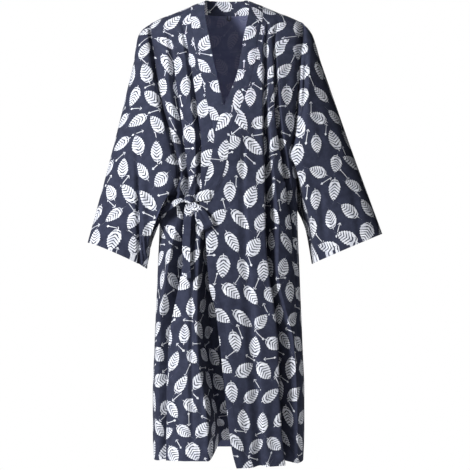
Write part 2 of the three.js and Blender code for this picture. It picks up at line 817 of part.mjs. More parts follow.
// The knot sits just clear of the wrap's edge at the waist
const knotMiddle = new THREE.Vector3(-90, -117, -487);
const knotHalf = new THREE.Vector3(13, 9, 12);
const knot = new THREE.SphereGeometry(1, 18, 12);
knot.scale(knotHalf.x, knotHalf.y, knotHalf.z);
knot.translate(knotMiddle.x, knotMiddle.y, knotMiddle.z);
['normal', 'uv'].forEach((attribute) => knot.deleteAttribute(attribute));
addPiece('tie_knot', mergeVertices(knot, 0.001));

// Tie ends: from the side seam and from the wrap's edge, gathered into the knot
const tieOut = 3.4;
const sideTie = [
  { angle: -84, z: -524, half: 13, out: tieOut },
  { angle: -74, z: -519, half: 13, out: tieOut },
  { angle: -62, z: -511, half: 12.5, out: tieOut },
  { angle: -51, z: -502, half: 11.5, out: 5 },
  { angle: -42, z: -494, half: 9.5, out: 11 },
  { angle: -37, z: -490, half: 7, out: 17.5 },
  { angle: -31.9, z: -487.6, half: 5, out: 20.5 },
];
addRibbon(
  'tie_side',
  sideTie.map(({ angle, z, half, out }) => ({
    middle: ringPoint(THREE.MathUtils.degToRad(angle), z, -1, -out),
    across: new THREE.Vector3(0, 0, half),
  })),
  3,
);
const edgeTie = [
  { x: -40, z: -474, half: 12, out: tieOut },
  { x: -52, z: -477, half: 12, out: tieOut },
  { x: -64, z: -481, half: 11, out: tieOut },
  { x: -74.2, z: -485.4, half: 6, out: tieOut + 1.5 },
];
addRibbon(
  'tie_edge',
  edgeTie.map(({ x, z, half, out }) => {
    const angle = angleAt(x, z);
    const lifted = overlapOut(angle, x, z) + out;
    return {
      middle: ringPoint(angle, z, -1, -lifted),
      across: new THREE.Vector3(0, 0, half),
    };
  }).reverse(),
  3,
);

// One loop of the bow, folded back on itself, and one hanging end
const loopRun = [
  { x: -82.2, y: -121.8, z: -495.3, half: 6 },
  { x: -69, y: -131, z: -512, half: 12 },
  { x: -59, y: -133, z: -530, half: 16 },
  { x: -50, y: -132, z: -548, half: 17 },
  { x: -46.5, y: -128.5, z: -556, half: 17 },
  { x: -47.5, y: -124.5, z: -556, half: 17 },
  { x: -53, y: -123, z: -546, half: 17 },
  { x: -61, y: -122, z: -530, half: 15 },
  { x: -70, y: -121, z: -513, half: 10 },
  { x: -80.3, y: -118.8, z: -496.6, half: 4.5 },
];
const loopAcross = new THREE.Vector3(0.88, 0, 0.47);
addRibbon(
  'tie_loop',
  loopRun.map(({ x, y, z, half }) => ({
    middle: new THREE.Vector3(x, y, z),
    across: loopAcross.clone().multiplyScalar(half),
  })),
  3,
);
const tailRun = [
  { x: -93, y: -118.8, z: -498.8, half: 4.5 },
  { x: -93, y: -118, z: -512, half: 8.5 },
  { x: -95, y: -116, z: -545, half: 9.5 },
  { x: -97, y: -114, z: -590, half: 9.5 },
  { x: -97, y: -114, z: -635, half: 9.5 },
  { x: -95, y: -115, z: -676, half: 9.5 },
];
addRibbon(
  'tie_tail',
  tailRun.map(({ x, y, z, half }) => ({
    middle: new THREE.Vector3(x, y, z),
    across: new THREE.Vector3(-half, half * 0.25, 0),
  })),
  2,
);

// Small tape loop that hangs from the back neck seam, on the inside
const tapeHalf = 1.4;
const tapeRadius = 4;
const tapeRise = 8; // from the turn of the loop up to the seam
const tapeMiddle = new THREE.Vector3(5, 52, -24);
const tapeTurns = 8;
const tape = [{ x: -tapeRadius, drop: -tapeRise }];
for (let k = 0; k <= tapeTurns; k += 1) {
  const turn = (Math.PI * k) / tapeTurns;
  tape.push({ x: -tapeRadius * Math.cos(turn), drop: tapeRadius * Math.sin(turn), turn });
}
tape.push({ x: tapeRadius, drop: -tapeRise });
addRibbon(
  'hanging_loop',
  tape.map(({ x, drop, turn = x < 0 ? 0 : Math.PI }) => ({
    middle: tapeMiddle.clone().add(new THREE.Vector3(x, 0, -drop)),
    across: new THREE.Vector3(-Math.cos(turn), 0, -Math.sin(turn)).multiplyScalar(tapeHalf),
  })),
  1,
  plainTape,
);

addPiece('front_right', wallGeometry(rightFront, rightNormals, false));
addPiece('front_left', wallGeometry(leftFront, leftNormals, false));
addPiece('back', wallGeometry(back, backNormals, false));
addPiece('neckband', wallGeometry(neckband, bandNormals, false));

export default robe;
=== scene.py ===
"""A long wrap robe with wide kimono sleeves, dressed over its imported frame.

The cloth's forms are drawn in millimetres and become meshes in metres.
"""

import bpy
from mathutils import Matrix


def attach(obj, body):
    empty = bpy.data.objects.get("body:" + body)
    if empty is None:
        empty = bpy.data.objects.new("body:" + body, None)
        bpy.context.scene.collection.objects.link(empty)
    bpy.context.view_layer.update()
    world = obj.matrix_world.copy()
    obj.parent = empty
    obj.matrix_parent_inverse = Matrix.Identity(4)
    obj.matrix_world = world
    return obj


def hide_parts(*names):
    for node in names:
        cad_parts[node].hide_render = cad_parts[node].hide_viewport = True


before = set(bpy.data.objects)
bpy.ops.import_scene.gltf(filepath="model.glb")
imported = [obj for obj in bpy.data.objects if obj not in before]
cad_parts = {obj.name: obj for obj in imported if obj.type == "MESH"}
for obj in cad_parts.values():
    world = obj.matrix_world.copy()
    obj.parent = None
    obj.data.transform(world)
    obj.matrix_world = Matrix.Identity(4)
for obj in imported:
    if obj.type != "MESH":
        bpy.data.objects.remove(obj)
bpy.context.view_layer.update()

import logging
import math
from dataclasses import dataclass, field
from enum import Enum
from typing import Any, Callable

import bpy
import numpy as np

LOG = logging.getLogger("robe")
MM = 0.001
BODY = "root"
FAR = 1000.0  # the distance to an edge that a piece hasn't got
HEM_BEND = -1000  # below this height the panels bend towards the hem
Numbers = np.ndarray
Guide = Callable[[Numbers], Numbers]


class Side(Enum):
    """Which way a cloth face looks: -1 is the front of the robe, 1 its back."""

    FRONT = -1
    BACK = 1


class Held(Enum):
    """How a sheet of cloth is held."""

    HUNG = "hung"
    GATHERED = "gathered"
    FOLDED = "folded"


class MapName(Enum):
    """The two UV maps of each piece."""

    CLOTH = "cloth"
    EDGES = "edges"


def smooth_step(t: Numbers) -> Numbers:
    """0 below 0, 1 above 1, and a smooth rise between them."""
    clamped = np.clip(t, 0.0, 1.0)
    return clamped * clamped * (3 - 2 * clamped)


def mix(a: Numbers, b: Numbers, t: Numbers) -> Numbers:
    """The value a share t of the way from a to b."""
    return a + (b - a) * t


def unit(vectors: Numbers) -> Numbers:
    """Vectors of length one."""
    size = np.linalg.norm(vectors, axis=-1, keepdims=True)
    return vectors / np.maximum(size, 1e-9)


def smooth_path(points: Numbers, count: int) -> Numbers:
    """A smooth line through points.

    Args:
        points: The points, one a row.
        count: How many points to return.

    Returns:
        The line's points, evenly spaced by the rows they lie between.
    """
    padded = np.vstack([2 * points[0] - points[1], points, 2 * points[-1] - points[-2]])
    at = np.linspace(0, len(points) - 1, count)
    low = np.minimum(at.astype(int), len(points) - 2)
    t = (at - low)[:, None]
    a, b, c, d = (padded[low + k] for k in range(4))
    return 0.5 * (
        2 * b + (c - a) * t + (2 * a - 5 * b + 4 * c - d) * t**2 + (3 * b - a - 3 * c + d) * t**3
    )


@dataclass(frozen=True)
class Rows:
    """A short table of sizes, read by a smooth curve that keeps each row's value."""

    names: tuple[str, ...]
    rows: tuple[tuple[float, ...], ...]

    def at(self, column: str, where: Numbers) -> Numbers:
        """The column's value at places along the first column.

        Args:
            column: The column's name.
            where: Values of the first column.

        Returns:
            The column's values there.
        """
        table = np.array(sorted(self.rows))
        key, value = table[:, 0], table[:, self.names.index(column)]
        place = np.clip(where, key[0], key[-1])
        low = np.clip(np.searchsorted(key, place, side="right") - 1, 0, len(key) - 2)
        step = np.diff(key)
        slope = np.diff(value) / step
        before, after = slope[:-1], slope[1:]
        same_way = before * after > 0
        total = np.where(same_way, before + after, 1.0)
        inner = np.where(same_way, 2 * before * after / total, 0.0)
        tangent = np.concatenate([slope[:1], inner, slope[-1:]])
        t = (place - key[low]) / step[low]
        lean = (1 - t) * (tangent[low] - slope[low]) - t * (tangent[low + 1] - slope[low])
        return value[low] + step[low] * (slope[low] * t + t * (1 - t) * lean)


def table(names: str, *rows: tuple[float, ...]) -> Rows:
    """A table from its column names in one string and its rows."""
    return Rows(tuple(names.split()), rows)


@dataclass(frozen=True)
class Fold:
    """A long fold: its trough's place, half width and depth at each height.

    It leans: the wall on the wearer's right is longer and the other one is steeper.
    """

    rows: Rows
    deeper: float = 1.5
    crisp: float = 1.5
    lean: float = 0.35

    def guides(self) -> list[Guide]:
        """Lines down the fold's two shoulders and its trough."""
        return [
            lambda z: self.rows.at("x", z) - self.rows.at("half", z) * (1 + self.lean),
            lambda z: self.rows.at("x", z),
            lambda z: self.rows.at("x", z) + self.rows.at("half", z) * (1 - self.lean),
        ]

    def depth_at(self, x: Numbers, z: Numbers) -> Numbers:
        """How far the cloth is pushed inwards at places on the body.

        Args:
            x: Places across.
            z: Heights.

        Returns:
            Depths in millimetres.
        """
        away = x - self.rows.at("x", z)
        wall = self.rows.at("half", z) * np.where(away < 0, 1 + self.lean, 1 - self.lean)
        offset = np.abs(away) / wall
        share = np.maximum(np.cos(np.minimum(offset, 1) * math.pi / 2), 0) ** self.crisp
        return self.rows.at("depth", z) * share * self.deeper


def fold(*rows: tuple[float, float, float, float]) -> Fold:
    """A fold from rows of height, place, half width and depth."""
    return Fold(Rows(("z", "x", "half", "depth"), rows))


@dataclass(frozen=True)
class Crease:
    """A smaller crease along a bent line, with a soft ridge on both sides.

    The line's three points are given as x and z, and a negative depth is a ridge.
    """

    start: tuple[float, float]
    bend: tuple[float, float]
    end: tuple[float, float]
    half: float
    depth: float
    fade_in: float = 0.35
    fade_out: float = 0.5
    side: Side = Side.FRONT
    samples: int = 17
    reach: float = 4
    ridge: float = 0.9

    def depth_at(self, x: Numbers, z: Numbers) -> Numbers:
        """How far the crease pushes the cloth inwards at places seen from the front.

        Args:
            x: Places across.
            z: Heights.

        Returns:
            Depths in millimetres.
        """
        t = np.linspace(0, 1, self.samples)[:, None]
        a, b, c = (np.array(p) for p in (self.start, self.bend, self.end))
        line = (1 - t) ** 2 * a + 2 * t * (1 - t) * b + t**2 * c
        best = np.full(np.shape(x), 1e9)
        along = np.zeros(np.shape(x))
        for k in range(len(line) - 1):
            way = line[k + 1] - line[k]
            share = ((x - line[k, 0]) * way[0] + (z - line[k, 1]) * way[1]) / (way @ way)
            share = np.clip(share, 0, 1)
            gap = np.hypot(x - line[k, 0] - share * way[0], z - line[k, 1] - share * way[1])
            nearer = gap < best
            best = np.where(nearer, gap, best)
            along = np.where(nearer, (k + share) / (len(line) - 1), along)
        ratio = np.minimum(best / self.half, self.reach) ** 2
        fade = smooth_step(along / self.fade_in) * smooth_step((1 - along) / self.fade_out)
        return self.depth * fade * (1 - self.ridge * ratio) * np.exp(-ratio)


@dataclass(frozen=True)
class BodyForm:
    """The filled-out body: rings by height, and the shoulder line above them."""

    centre: float = 4
    power: float = 2.4
    seam_gap: float = 0.34
    hem: float = -1130
    neck_half: float = 88
    shoulder_fall: float = 0.43
    nape_rise: float = 38
    nape_drop: float = 15
    rings: Rows = table(
        "z half front back",
        (-1140, 186, 121, 118),
        (-1060, 189, 121, 118),
        (-960, 189, 119, 115),
        (-860, 185, 117, 112),
        (-740, 180, 114, 107),
        (-640, 176, 112, 103),
        (-540, 172, 110, 99),
        (-460, 171, 109, 98),
        (-380, 174, 108, 100),
        (-300, 183, 107, 103),
        (-200, 200, 102, 104),
        (-100, 214, 97, 102),
        (20, 220, 95, 100),
    )
    fullness: Rows = table(
        "drop share",
        (0, 0),
        (6, 0.17),
        (20, 0.33),
        (50, 0.53),
        (100, 0.72),
        (180, 0.91),
        (280, 1),
        (1300, 1),
    )

    def shoulder_line(self, x: Numbers) -> Numbers:
        """Height of the shoulder seam across the robe."""
        return -self.shoulder_fall * np.maximum(0, np.abs(x) - self.neck_half)

    def back_line(self, x: Numbers) -> Numbers:
        """Height of the back panel's top edge, cut down a little at the neck.

        Args:
            x: Places across.

        Returns:
            Heights.
        """
        share = np.abs(x) / self.neck_half
        dip = -self.nape_drop * (1 - np.minimum(share, 1) ** 4)
        return np.where(share < 1, dip, self.shoulder_line(x))

    def ridge(self, x: Numbers) -> Numbers:
        """The shoulder line carried over the neck opening."""
        share = np.minimum(1, np.abs(x) / self.neck_half)
        return self.shoulder_line(x) + self.nape_rise * (1 - share * share)

    def ring(self, angle: Numbers, z: Numbers, side: Side, inwards: Numbers = 0.0) -> Numbers:
        """Points of the body's rings, moved inwards by a depth.

        Args:
            angle: Angle from the middle towards the wearer's left.
            z: Heights.
            side: The front or the back.
            inwards: How far the cloth is pushed in.

        Returns:
            Points, the last axis being x, y and z.
        """
        angle, z, inwards = np.broadcast_arrays(angle, z, inwards)
        half = self.rings.at("half", z)
        sine = np.sin(angle)
        across = np.sign(sine) * np.abs(sine) ** (2 / self.power)
        x = self.centre + half * across
        full = self.fullness.at("share", self.ridge(x) - z)
        depth = self.rings.at(side.name.lower(), z) * full
        deep = np.abs(np.cos(angle)) ** (2 / self.power)
        slope = self.power - 1
        out_x = np.sign(across) * np.abs(across) ** slope / half
        out_y = side.value * deep**slope / np.maximum(depth, 1)
        size = np.hypot(out_x, out_y)
        y = side.value * (depth * deep + self.seam_gap / 2)
        return np.stack([x - inwards * out_x / size, y - inwards * out_y / size, z], axis=-1)

    def angle_at(self, x: Numbers, z: Numbers) -> Numbers:
        """The ring angle at which a ring passes places across the body.

        Args:
            x: Places across.
            z: Heights.

        Returns:
            Angles from the middle towards the wearer's left.
        """
        half = self.rings.at("half", z)
        share = np.minimum(1, np.abs(x - self.centre) / half)
        return np.sign(x - self.centre) * np.arcsin(share ** (self.power / 2))


FORM = BodyForm()
UNDERARM_RIGHT = -486
UNDERARM_LEFT = -408
ARMHOLE_RIGHT = table(
    "z x",
    (-486, -167),
    (-474, -152),
    (-463, -130),
    (-448, -118),
    (-412, -116),
    (-364, -129),
    (-308, -143),
    (-254, -159),
    (-191, -172),
    (-116, -183),
    (-47, -190),
    (10, -190),
)
ARMHOLE_LEFT = table(
    "z x",
    (-408, 177),
    (-398, 165),
    (-389, 155),
    (-378, 150),
    (-355, 157),
    (-315, 164),
    (-241, 171),
    (-141, 180),
    (-45, 190),
    (10, 190),
)
BAND_END_RIGHT = {"seam": (7, -486), "edge": (48, -520)}
BAND_END_LEFT = {"seam": (-25, -462), "edge": (-64, -486)}
EDGE_RIGHT = table(
    "z x",
    (-1140, 84),
    (-850, 72),
    (-600, 56),
    (-520, 48),
    (-486, 7),
    (-380, -17),
    (-279, -40),
    (-191, -60),
    (-118, -75),
    (-67, -84),
    (-32, -88),
    (0, -88),
    (20, -88),
)
EDGE_LEFT = table(
    "z x",
    (-1140, 26),
    (-1090, 13),
    (-991, 0),
    (-854, -14),
    (-750, -27),
    (-695, -41),
    (-558, -51),
    (-486, -64),
    (-462, -25),
    (-389, 0),
    (-323, 10),
    (-267, 30),
    (-193, 59),
    (-116, 73),
    (-67, 81),
    (-32, 87),
    (0, 88),
    (20, 88),
)
FOLD_ARM_RIGHT = fold(
    (-60, -146, 8, 0),
    (-116, -137, 8, 10),
    (-191, -131, 9, 16),
    (-241, -124, 10, 19),
    (-300, -116, 10, 22),
    (-364, -108, 10, 26),
    (-412, -103, 9, 27),
    (-448, -101, 10, 26),
    (-480, -100, 12, 26),
    (-558, -103, 15, 32),
    (-606, -112, 17, 36),
    (-678, -124, 17, 36),
    (-751, -138, 15, 33),
    (-823, -149, 13, 28),
    (-900, -153, 12, 20),
    (-1140, -156, 10, 12),
)
FOLD_BREAST_RIGHT = fold(
    (-40, -112, 5, 0),
    (-116, -98, 6, 9),
    (-191, -86, 7, 13),
    (-267, -76, 7, 16),
    (-364, -66, 7, 17),
    (-449, -68, 6, 11),
    (-560, -80, 5, 4),
    (-700, -84, 6, 4),
    (-860, -86, 7, 6),
    (-1000, -84, 7, 5),
    (-1140, -80, 7, 0),
)
WRAP_TROUGH = table(
    "z x run depth",
    (0, -99, 5, 0),
    (-60, -95, 5, 0),
    (-116, -86, 5, 0),
    (-191, -73, 6, 0),
    (-279, -58, 8, 0),
    (-364, -52, 16, 0),
    (-430, -56, 22, 4),
    (-500, -66, 22, 26),
    (-570, -66, 22, 52),
    (-700, -72, 22, 68),
    (-800, -73, 25, 78),
    (-900, -66, 28, 86),
    (-1010, -50, 28, 93),
    (-1140, -44, 28, 100),
)
FOLD_BREAST_LEFT = fold(
    (-50, 104, 7, 0),
    (-105, 97, 8, 10),
    (-267, 96, 8, 16),
    (-330, 98, 9, 19),
    (-401, 104, 11, 23),
    (-473, 109, 14, 29),
    (-552, 113, 16, 34),
    (-620, 114, 14, 28),
    (-680, 117, 11, 22),
    (-740, 129, 13, 27),
    (-835, 147, 19, 38),
    (-968, 154, 21, 44),
    (-1060, 157, 19, 40),
    (-1140, 160, 14, 28),
)
FOLD_ARM_LEFT = fold(
    (-40, 128, 5, 0),
    (-100, 118, 6, 8),
    (-204, 122, 7, 14),
    (-286, 127, 8, 17),
    (-340, 134, 8, 20),
    (-388, 141, 8, 23),
    (-461, 152, 8, 22),
    (-520, 160, 7, 15),
    (-600, 166, 5, 4),
    (-1140, 181, 3, 0),
)
FOLD_LAP_LEFT = fold(
    (-60, 93, 2, 0),
    (-267, 56, 6, 0),
    (-420, 40, 10, 2),
    (-640, 48, 16, 5),
    (-800, 62, 18, 8),
    (-960, 74, 18, 7),
    (-1140, 84, 18, 10),
)
BACK_FOLDS = (
    fold(
        (-160, -112, 14, 0),
        (-380, -94, 14, 8),
        (-480, -94, 16, 10),
        (-760, -118, 22, 15),
        (-1140, -126, 24, 22),
    ),
    fold((-260, -34, 20, 0), (-480, -40, 20, 7), (-760, -46, 22, 11), (-1140, -48, 24, 15)),
    fold((-220, 44, 20, 0), (-470, 36, 20, 8), (-760, 34, 22, 13), (-1140, 38, 24, 19)),
    fold((-140, 116, 16, 0), (-420, 112, 18, 10), (-760, 120, 22, 14), (-1140, 128, 24, 20)),
)
# Smaller creases: pulls towards the knot, drags at the underarms, soft hem waves
CREASES_RIGHT = (
    Crease((-98, -476), (-118, -440), (-146, -398), 7, 5.5, 0.15, 0.8),
    Crease((-100, -484), (-128, -468), (-152, -452), 6, 5.0, 0.2, 0.7),
    Crease((-92, -472), (-96, -430), (-88, -380), 6, 4.2, 0.2, 0.8),
    Crease((-84, -474), (-76, -440), (-56, -400), 6, 4.0, 0.2, 0.8),
    Crease((-100, -496), (-130, -530), (-150, -590), 8, 6.5, 0.15, 0.8),
    Crease((-96, -502), (-100, -560), (-92, -650), 8, 6.0, 0.15, 0.8),
    Crease((-88, -502), (-80, -560), (-74, -640), 7, 2.6, 0.2, 0.8),
    Crease((-150, -620), (-156, -760), (-148, -930), 12, 3.0, 0.4, 0.6),
    Crease((-104, -700), (-98, -860), (-102, -1000), 9, 2.8, 0.5, 0.6),
    Crease((-66, -820), (-62, -960), (-58, -1130), 9, 2.6, 0.5, 0.1),
    Crease((-146, -960), (-142, -1040), (-148, -1130), 11, 3.4, 0.5, 0.1),
    Crease((-100, -960), (-104, -1050), (-100, -1130), 9, -2.6, 0.5, 0.1),
    Crease((-150, -120), (-140, -200), (-142, -290), 9, 2.0, 0.5, 0.6),
    Crease((-118, -90), (-110, -190), (-98, -300), 8, -1.8, 0.5, 0.6),
    Crease((-104, -320), (-84, -350), (-66, -392), 10, 1.8, 0.5, 0.6),
    Crease((-136, -424), (-142, -498), (-132, -580), 15, 27.0, 0.3, 0.4),
)
CREASES_LEFT = (
    Crease((-50, -482), (-6, -470), (62, -430), 12, 3.4, 0.12, 0.85),
    Crease((-52, -488), (6, -500), (84, -520), 13, 2.8, 0.12, 0.85),
    Crease((-52, -494), (-16, -540), (8, -640), 12, 3.2, 0.12, 0.85),
    Crease((-30, -470), (0, -430), (28, -370), 11, 2.4, 0.2, 0.8),
    Crease((-20, -620), (-6, -780), (6, -960), 16, 3.0, 0.5, 0.6),
    Crease((22, -560), (24, -760), (40, -960), 20, 2.6, 0.5, 0.6),
    Crease((96, -640), (90, -780), (104, -930), 14, 3.2, 0.4, 0.6),
    Crease((42, -900), (44, -1010), (50, -1130), 14, 3.4, 0.5, 0.1),
    Crease((106, -900), (112, -1020), (116, -1130), 13, 3.8, 0.5, 0.1),
    Crease((166, -700), (170, -860), (172, -1000), 10, 2.6, 0.4, 0.6),
    Crease((150, -420), (130, -440), (114, -500), 8, 2.6, 0.2, 0.7),
    Crease((158, -440), (144, -500), (138, -580), 9, 2.8, 0.2, 0.7),
    Crease((110, -250), (112, -340), (120, -430), 7, -2.4, 0.4, 0.5),
    Crease((70, -240), (66, -330), (76, -440), 12, 2.0, 0.5, 0.6),
    Crease((110, -90), (110, -180), (112, -260), 6, -2.0, 0.4, 0.5),
    Crease((150, -110), (146, -220), (150, -320), 9, 2.4, 0.4, 0.5),
    Crease((20, -330), (50, -340), (84, -370), 13, 1.8, 0.4, 0.6),
)
CREASES_BACK = (
    Crease((-150, -150), (-130, -230), (-96, -330), 13, 3.2, 0.4, 0.6, Side.BACK),
    Crease((150, -140), (136, -220), (98, -330), 13, 3.0, 0.4, 0.6, Side.BACK),
    Crease((-140, -470), (-100, -500), (-60, -560), 12, 3.4, 0.2, 0.8, Side.BACK),
    Crease((150, -430), (110, -470), (70, -540), 12, 3.2, 0.2, 0.8, Side.BACK),
    Crease((-146, -520), (-130, -640), (-150, -800), 13, 3.4, 0.3, 0.7, Side.BACK),
    Crease((152, -500), (146, -640), (158, -800), 12, 3.4, 0.3, 0.7, Side.BACK),
    Crease((-80, -620), (-76, -860), (-86, -1130), 15, 4.2, 0.5, 0.1, Side.BACK),
    Crease((2, -560), (-4, -820), (-6, -1130), 16, 4.6, 0.5, 0.1, Side.BACK),
    Crease((80, -600), (78, -860), (84, -1130), 15, 4.0, 0.5, 0.1, Side.BACK),
    Crease((0, -120), (4, -240), (0, -400), 16, 2.2, 0.4, 0.6, Side.BACK),
    Crease((-60, -80), (-70, -180), (-64, -300), 14, 2.0, 0.5, 0.6, Side.BACK),
    Crease((62, -70), (76, -180), (70, -310), 14, 2.2, 0.5, 0.6, Side.BACK),
    Crease((-170, -800), (-166, -960), (-170, -1130), 11, 3.0, 0.4, 0.1, Side.BACK),
    Crease((172, -820), (170, -960), (172, -1130), 11, 3.0, 0.4, 0.1, Side.BACK),
)
FOLLOW = table(
    "level share",
    (-1140, 0),
    (-310, 0),
    (-265, 0.1),
    (-215, 0.2),
    (-165, 0.35),
    (-115, 0.55),
    (-75, 0.8),
    (-42, 1),
    (0, 1),
)
CORNER_LEVELS = (-520, -486, -474, -463, -448, -408, -398, -389, -378, -18, -6)


@dataclass(frozen=True)
class ArmholeValley:
    """The dip along an armhole seam, the same on the panel and on the sleeve."""

    depth: float = 14.0
    width: float = 7.0
    top_gap: float = 24
    top_fade: float = 50
    low_gap: float = 18
    low_fade: float = 60

    def sink(self, points: Numbers, away: Numbers, underarm: float, side: Numbers | int) -> None:
        """Moves points near the seam inwards, in place.

        Args:
            points: The cloth's points.
            away: Their distances from the seam.
            underarm: The height of the armhole's lower end.
            side: -1 on the front and 1 on the back.
        """
        z = points[..., 2]
        fade = smooth_step((-self.top_gap - z) / self.top_fade)
        fade = fade * smooth_step((z - underarm - self.low_gap) / self.low_fade)
        points[..., 1] -= side * self.depth * fade * np.exp(-((away / self.width) ** 2))


VALLEY = ArmholeValley()


def panel_levels(step: float = 5.0, clear: float = 0.3) -> Numbers:
    """Heights of a panel's rows, from the hem to the shoulder, with its corners among them.

    Args:
        step: The space between two rows.
        clear: The share of a step that is kept clear at each corner.

    Returns:
        Heights, from the hem up.
    """
    even = np.arange(FORM.hem, 0.1, step)
    corners = np.array(CORNER_LEVELS, float)
    far = np.min(np.abs(even[:, None] - corners), axis=1) > clear * step
    return np.unique(np.concatenate([even[far], corners, [FORM.hem, 0.0]]))


def grid_normals(grid: Numbers, closed: bool) -> Numbers:
    """Unit normals of a grid of points, facing away from the wearer.

    Args:
        grid: Points in rows and columns.
        closed: Whether the rows close on themselves.

    Returns:
        A normal for each point.
    """
    if closed:
        across = np.roll(grid, -1, axis=1) - np.roll(grid, 1, axis=1)
    else:
        across = np.empty_like(grid)
        across[:, 1:-1] = grid[:, 2:] - grid[:, :-2]
        across[:, 0] = grid[:, 1] - grid[:, 0]
        across[:, -1] = grid[:, -1] - grid[:, -2]
    up = np.empty_like(grid)
    up[1:-1] = grid[2:] - grid[:-2]
    up[0] = grid[1] - grid[0]
    up[-1] = grid[-1] - grid[-2]
    return unit(np.cross(across, up))


@dataclass
class Cloth:
    """A piece of cloth: its outer points, its flat places and its distances to the edges.

    The flat places have one column more than the points where the rows close.
    """

    name: str
    outer: Numbers
    flat: Numbers
    edges: Numbers
    closed: bool = False
    thickness: float = 1.0
    inner_printed: bool = False
    still_seam: float = 9.0
    side_blend: float = 2.5
    sharp: float = 72

    def normals(self) -> Numbers:
        """Unit normals of the outer points."""
        return grid_normals(self.outer, self.closed)

    def crease(self, creases: tuple[Crease, ...]) -> None:
        """Presses creases into the cloth on the side that each one is on.

        Args:
            creases: The creases, in any order.
        """
        if not creases:
            return
        normals = self.normals()
        depth = np.zeros(self.outer.shape[:2])
        x, z = self.outer[..., 0], self.outer[..., 2]
        for item in creases:
            facing = smooth_step(0.5 + self.side_blend * item.side.value * normals[..., 1])
            depth += facing * item.depth_at(x, z)
        seam = self.edges[:, : self.outer.shape[1], 0]
        depth *= smooth_step(seam / self.still_seam)
        self.outer = self.outer - normals * depth[..., None]

    def mesh(self) -> bpy.types.Mesh:
        """A closed wall: the outer points, the points one thickness inside them, and the rims.

        Returns:
            The mesh, in metres, with its UV maps and its material numbers.
        """
        rows, columns = self.outer.shape[:2]
        wide = self.flat.shape[1]
        inner = self.outer - self.normals() * self.thickness
        points = np.concatenate([self.outer.reshape(-1, 3), inner.reshape(-1, 3)]) * MM
        layer = rows * columns
        j, i = np.meshgrid(np.arange(rows - 1), np.arange(wide - 1), indexing="ij")
        j, i = j.ravel(), i.ravel()
        quads: list[Numbers] = []
        places: list[Numbers] = []

        def put(corners: list[tuple[Numbers, Numbers, bool]]) -> None:
            """Adds one quad for each number in the corners' rows and columns."""
            quads.append(
                np.stack([r * columns + c % columns + layer * ins for r, c, ins in corners], 1)
            )
            places.append(np.stack([r * wide + c for r, c, _ in corners], 1))

        put([(j, i, False), (j, i + 1, False), (j + 1, i + 1, False), (j + 1, i, False)])
        put([(j, i, True), (j + 1, i, True), (j + 1, i + 1, True), (j, i + 1, True)])
        c = np.arange(wide - 1)
        low, top = np.zeros_like(c), np.full_like(c, rows - 1)
        put([(low, c, False), (low, c, True), (low, c + 1, True), (low, c + 1, False)])
        put([(top, c, False), (top, c + 1, False), (top, c + 1, True), (top, c, True)])
        if not self.closed:
            r = np.arange(rows - 1)
            first, last = np.zeros_like(r), np.full_like(r, wide - 1)
            put([(r, first, False), (r + 1, first, False), (r + 1, first, True), (r, first, True)])
            put([(r, last, False), (r, last, True), (r + 1, last, True), (r + 1, last, False)])
        mesh = bpy.data.meshes.new(self.name)
        mesh.from_pydata(points, [], np.concatenate(quads))
        corner_places = np.concatenate(places).ravel()
        for name, values in ((MapName.CLOTH, self.flat), (MapName.EDGES, self.edges)):
            layer_map = mesh.uv_layers.new(name=name.value)
            values_at = values.reshape(-1, 2)[corner_places] * MM
            layer_map.data.foreach_set("uv", values_at.ravel().astype(np.float32))
        inside = np.zeros(sum(len(q) for q in quads), np.int32)
        if not self.inner_printed:
            inside[len(quads[0]) : len(quads[0]) + len(quads[1])] = 1
        mesh.polygons.foreach_set("material_index", inside)
        mesh.polygons.foreach_set("use_smooth", np.ones(len(inside), bool))
        mesh.set_sharp_from_angle(angle=math.radians(self.sharp))
        mesh.update()
        return mesh


@dataclass(frozen=True)
class Cut:
    """The flat cut of a piece, in metres, and how it is held."""

    width: float
    length: float
    held: Held = Held.HUNG
    area: float | None = None


def place(
    cloth: Cloth, nodes: tuple[str, ...], finishes: list[bpy.types.Material], cut: Cut, slot: str
) -> bpy.types.Object:
    """Puts a piece of cloth in the scene in place of its CAD nodes.

    Args:
        cloth: The piece.
        nodes: The CAD nodes that it stands for.
        finishes: Its outer and inner materials.
        cut: Its flat cut; not used.
        slot: Not used.

    Returns:
        The new object.
    """
    piece = bpy.data.objects.new(cloth.name, cloth.mesh())
    bpy.context.scene.collection.objects.link(piece)
    for finish in finishes:
        piece.data.materials.append(finish)
    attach(piece, BODY)
    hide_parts(*nodes)
    ["back"] if "back" not in nodes else ["neckband"]
    LOG.info("%s: %d faces", cloth.name, len(piece.data.polygons))
    return piece


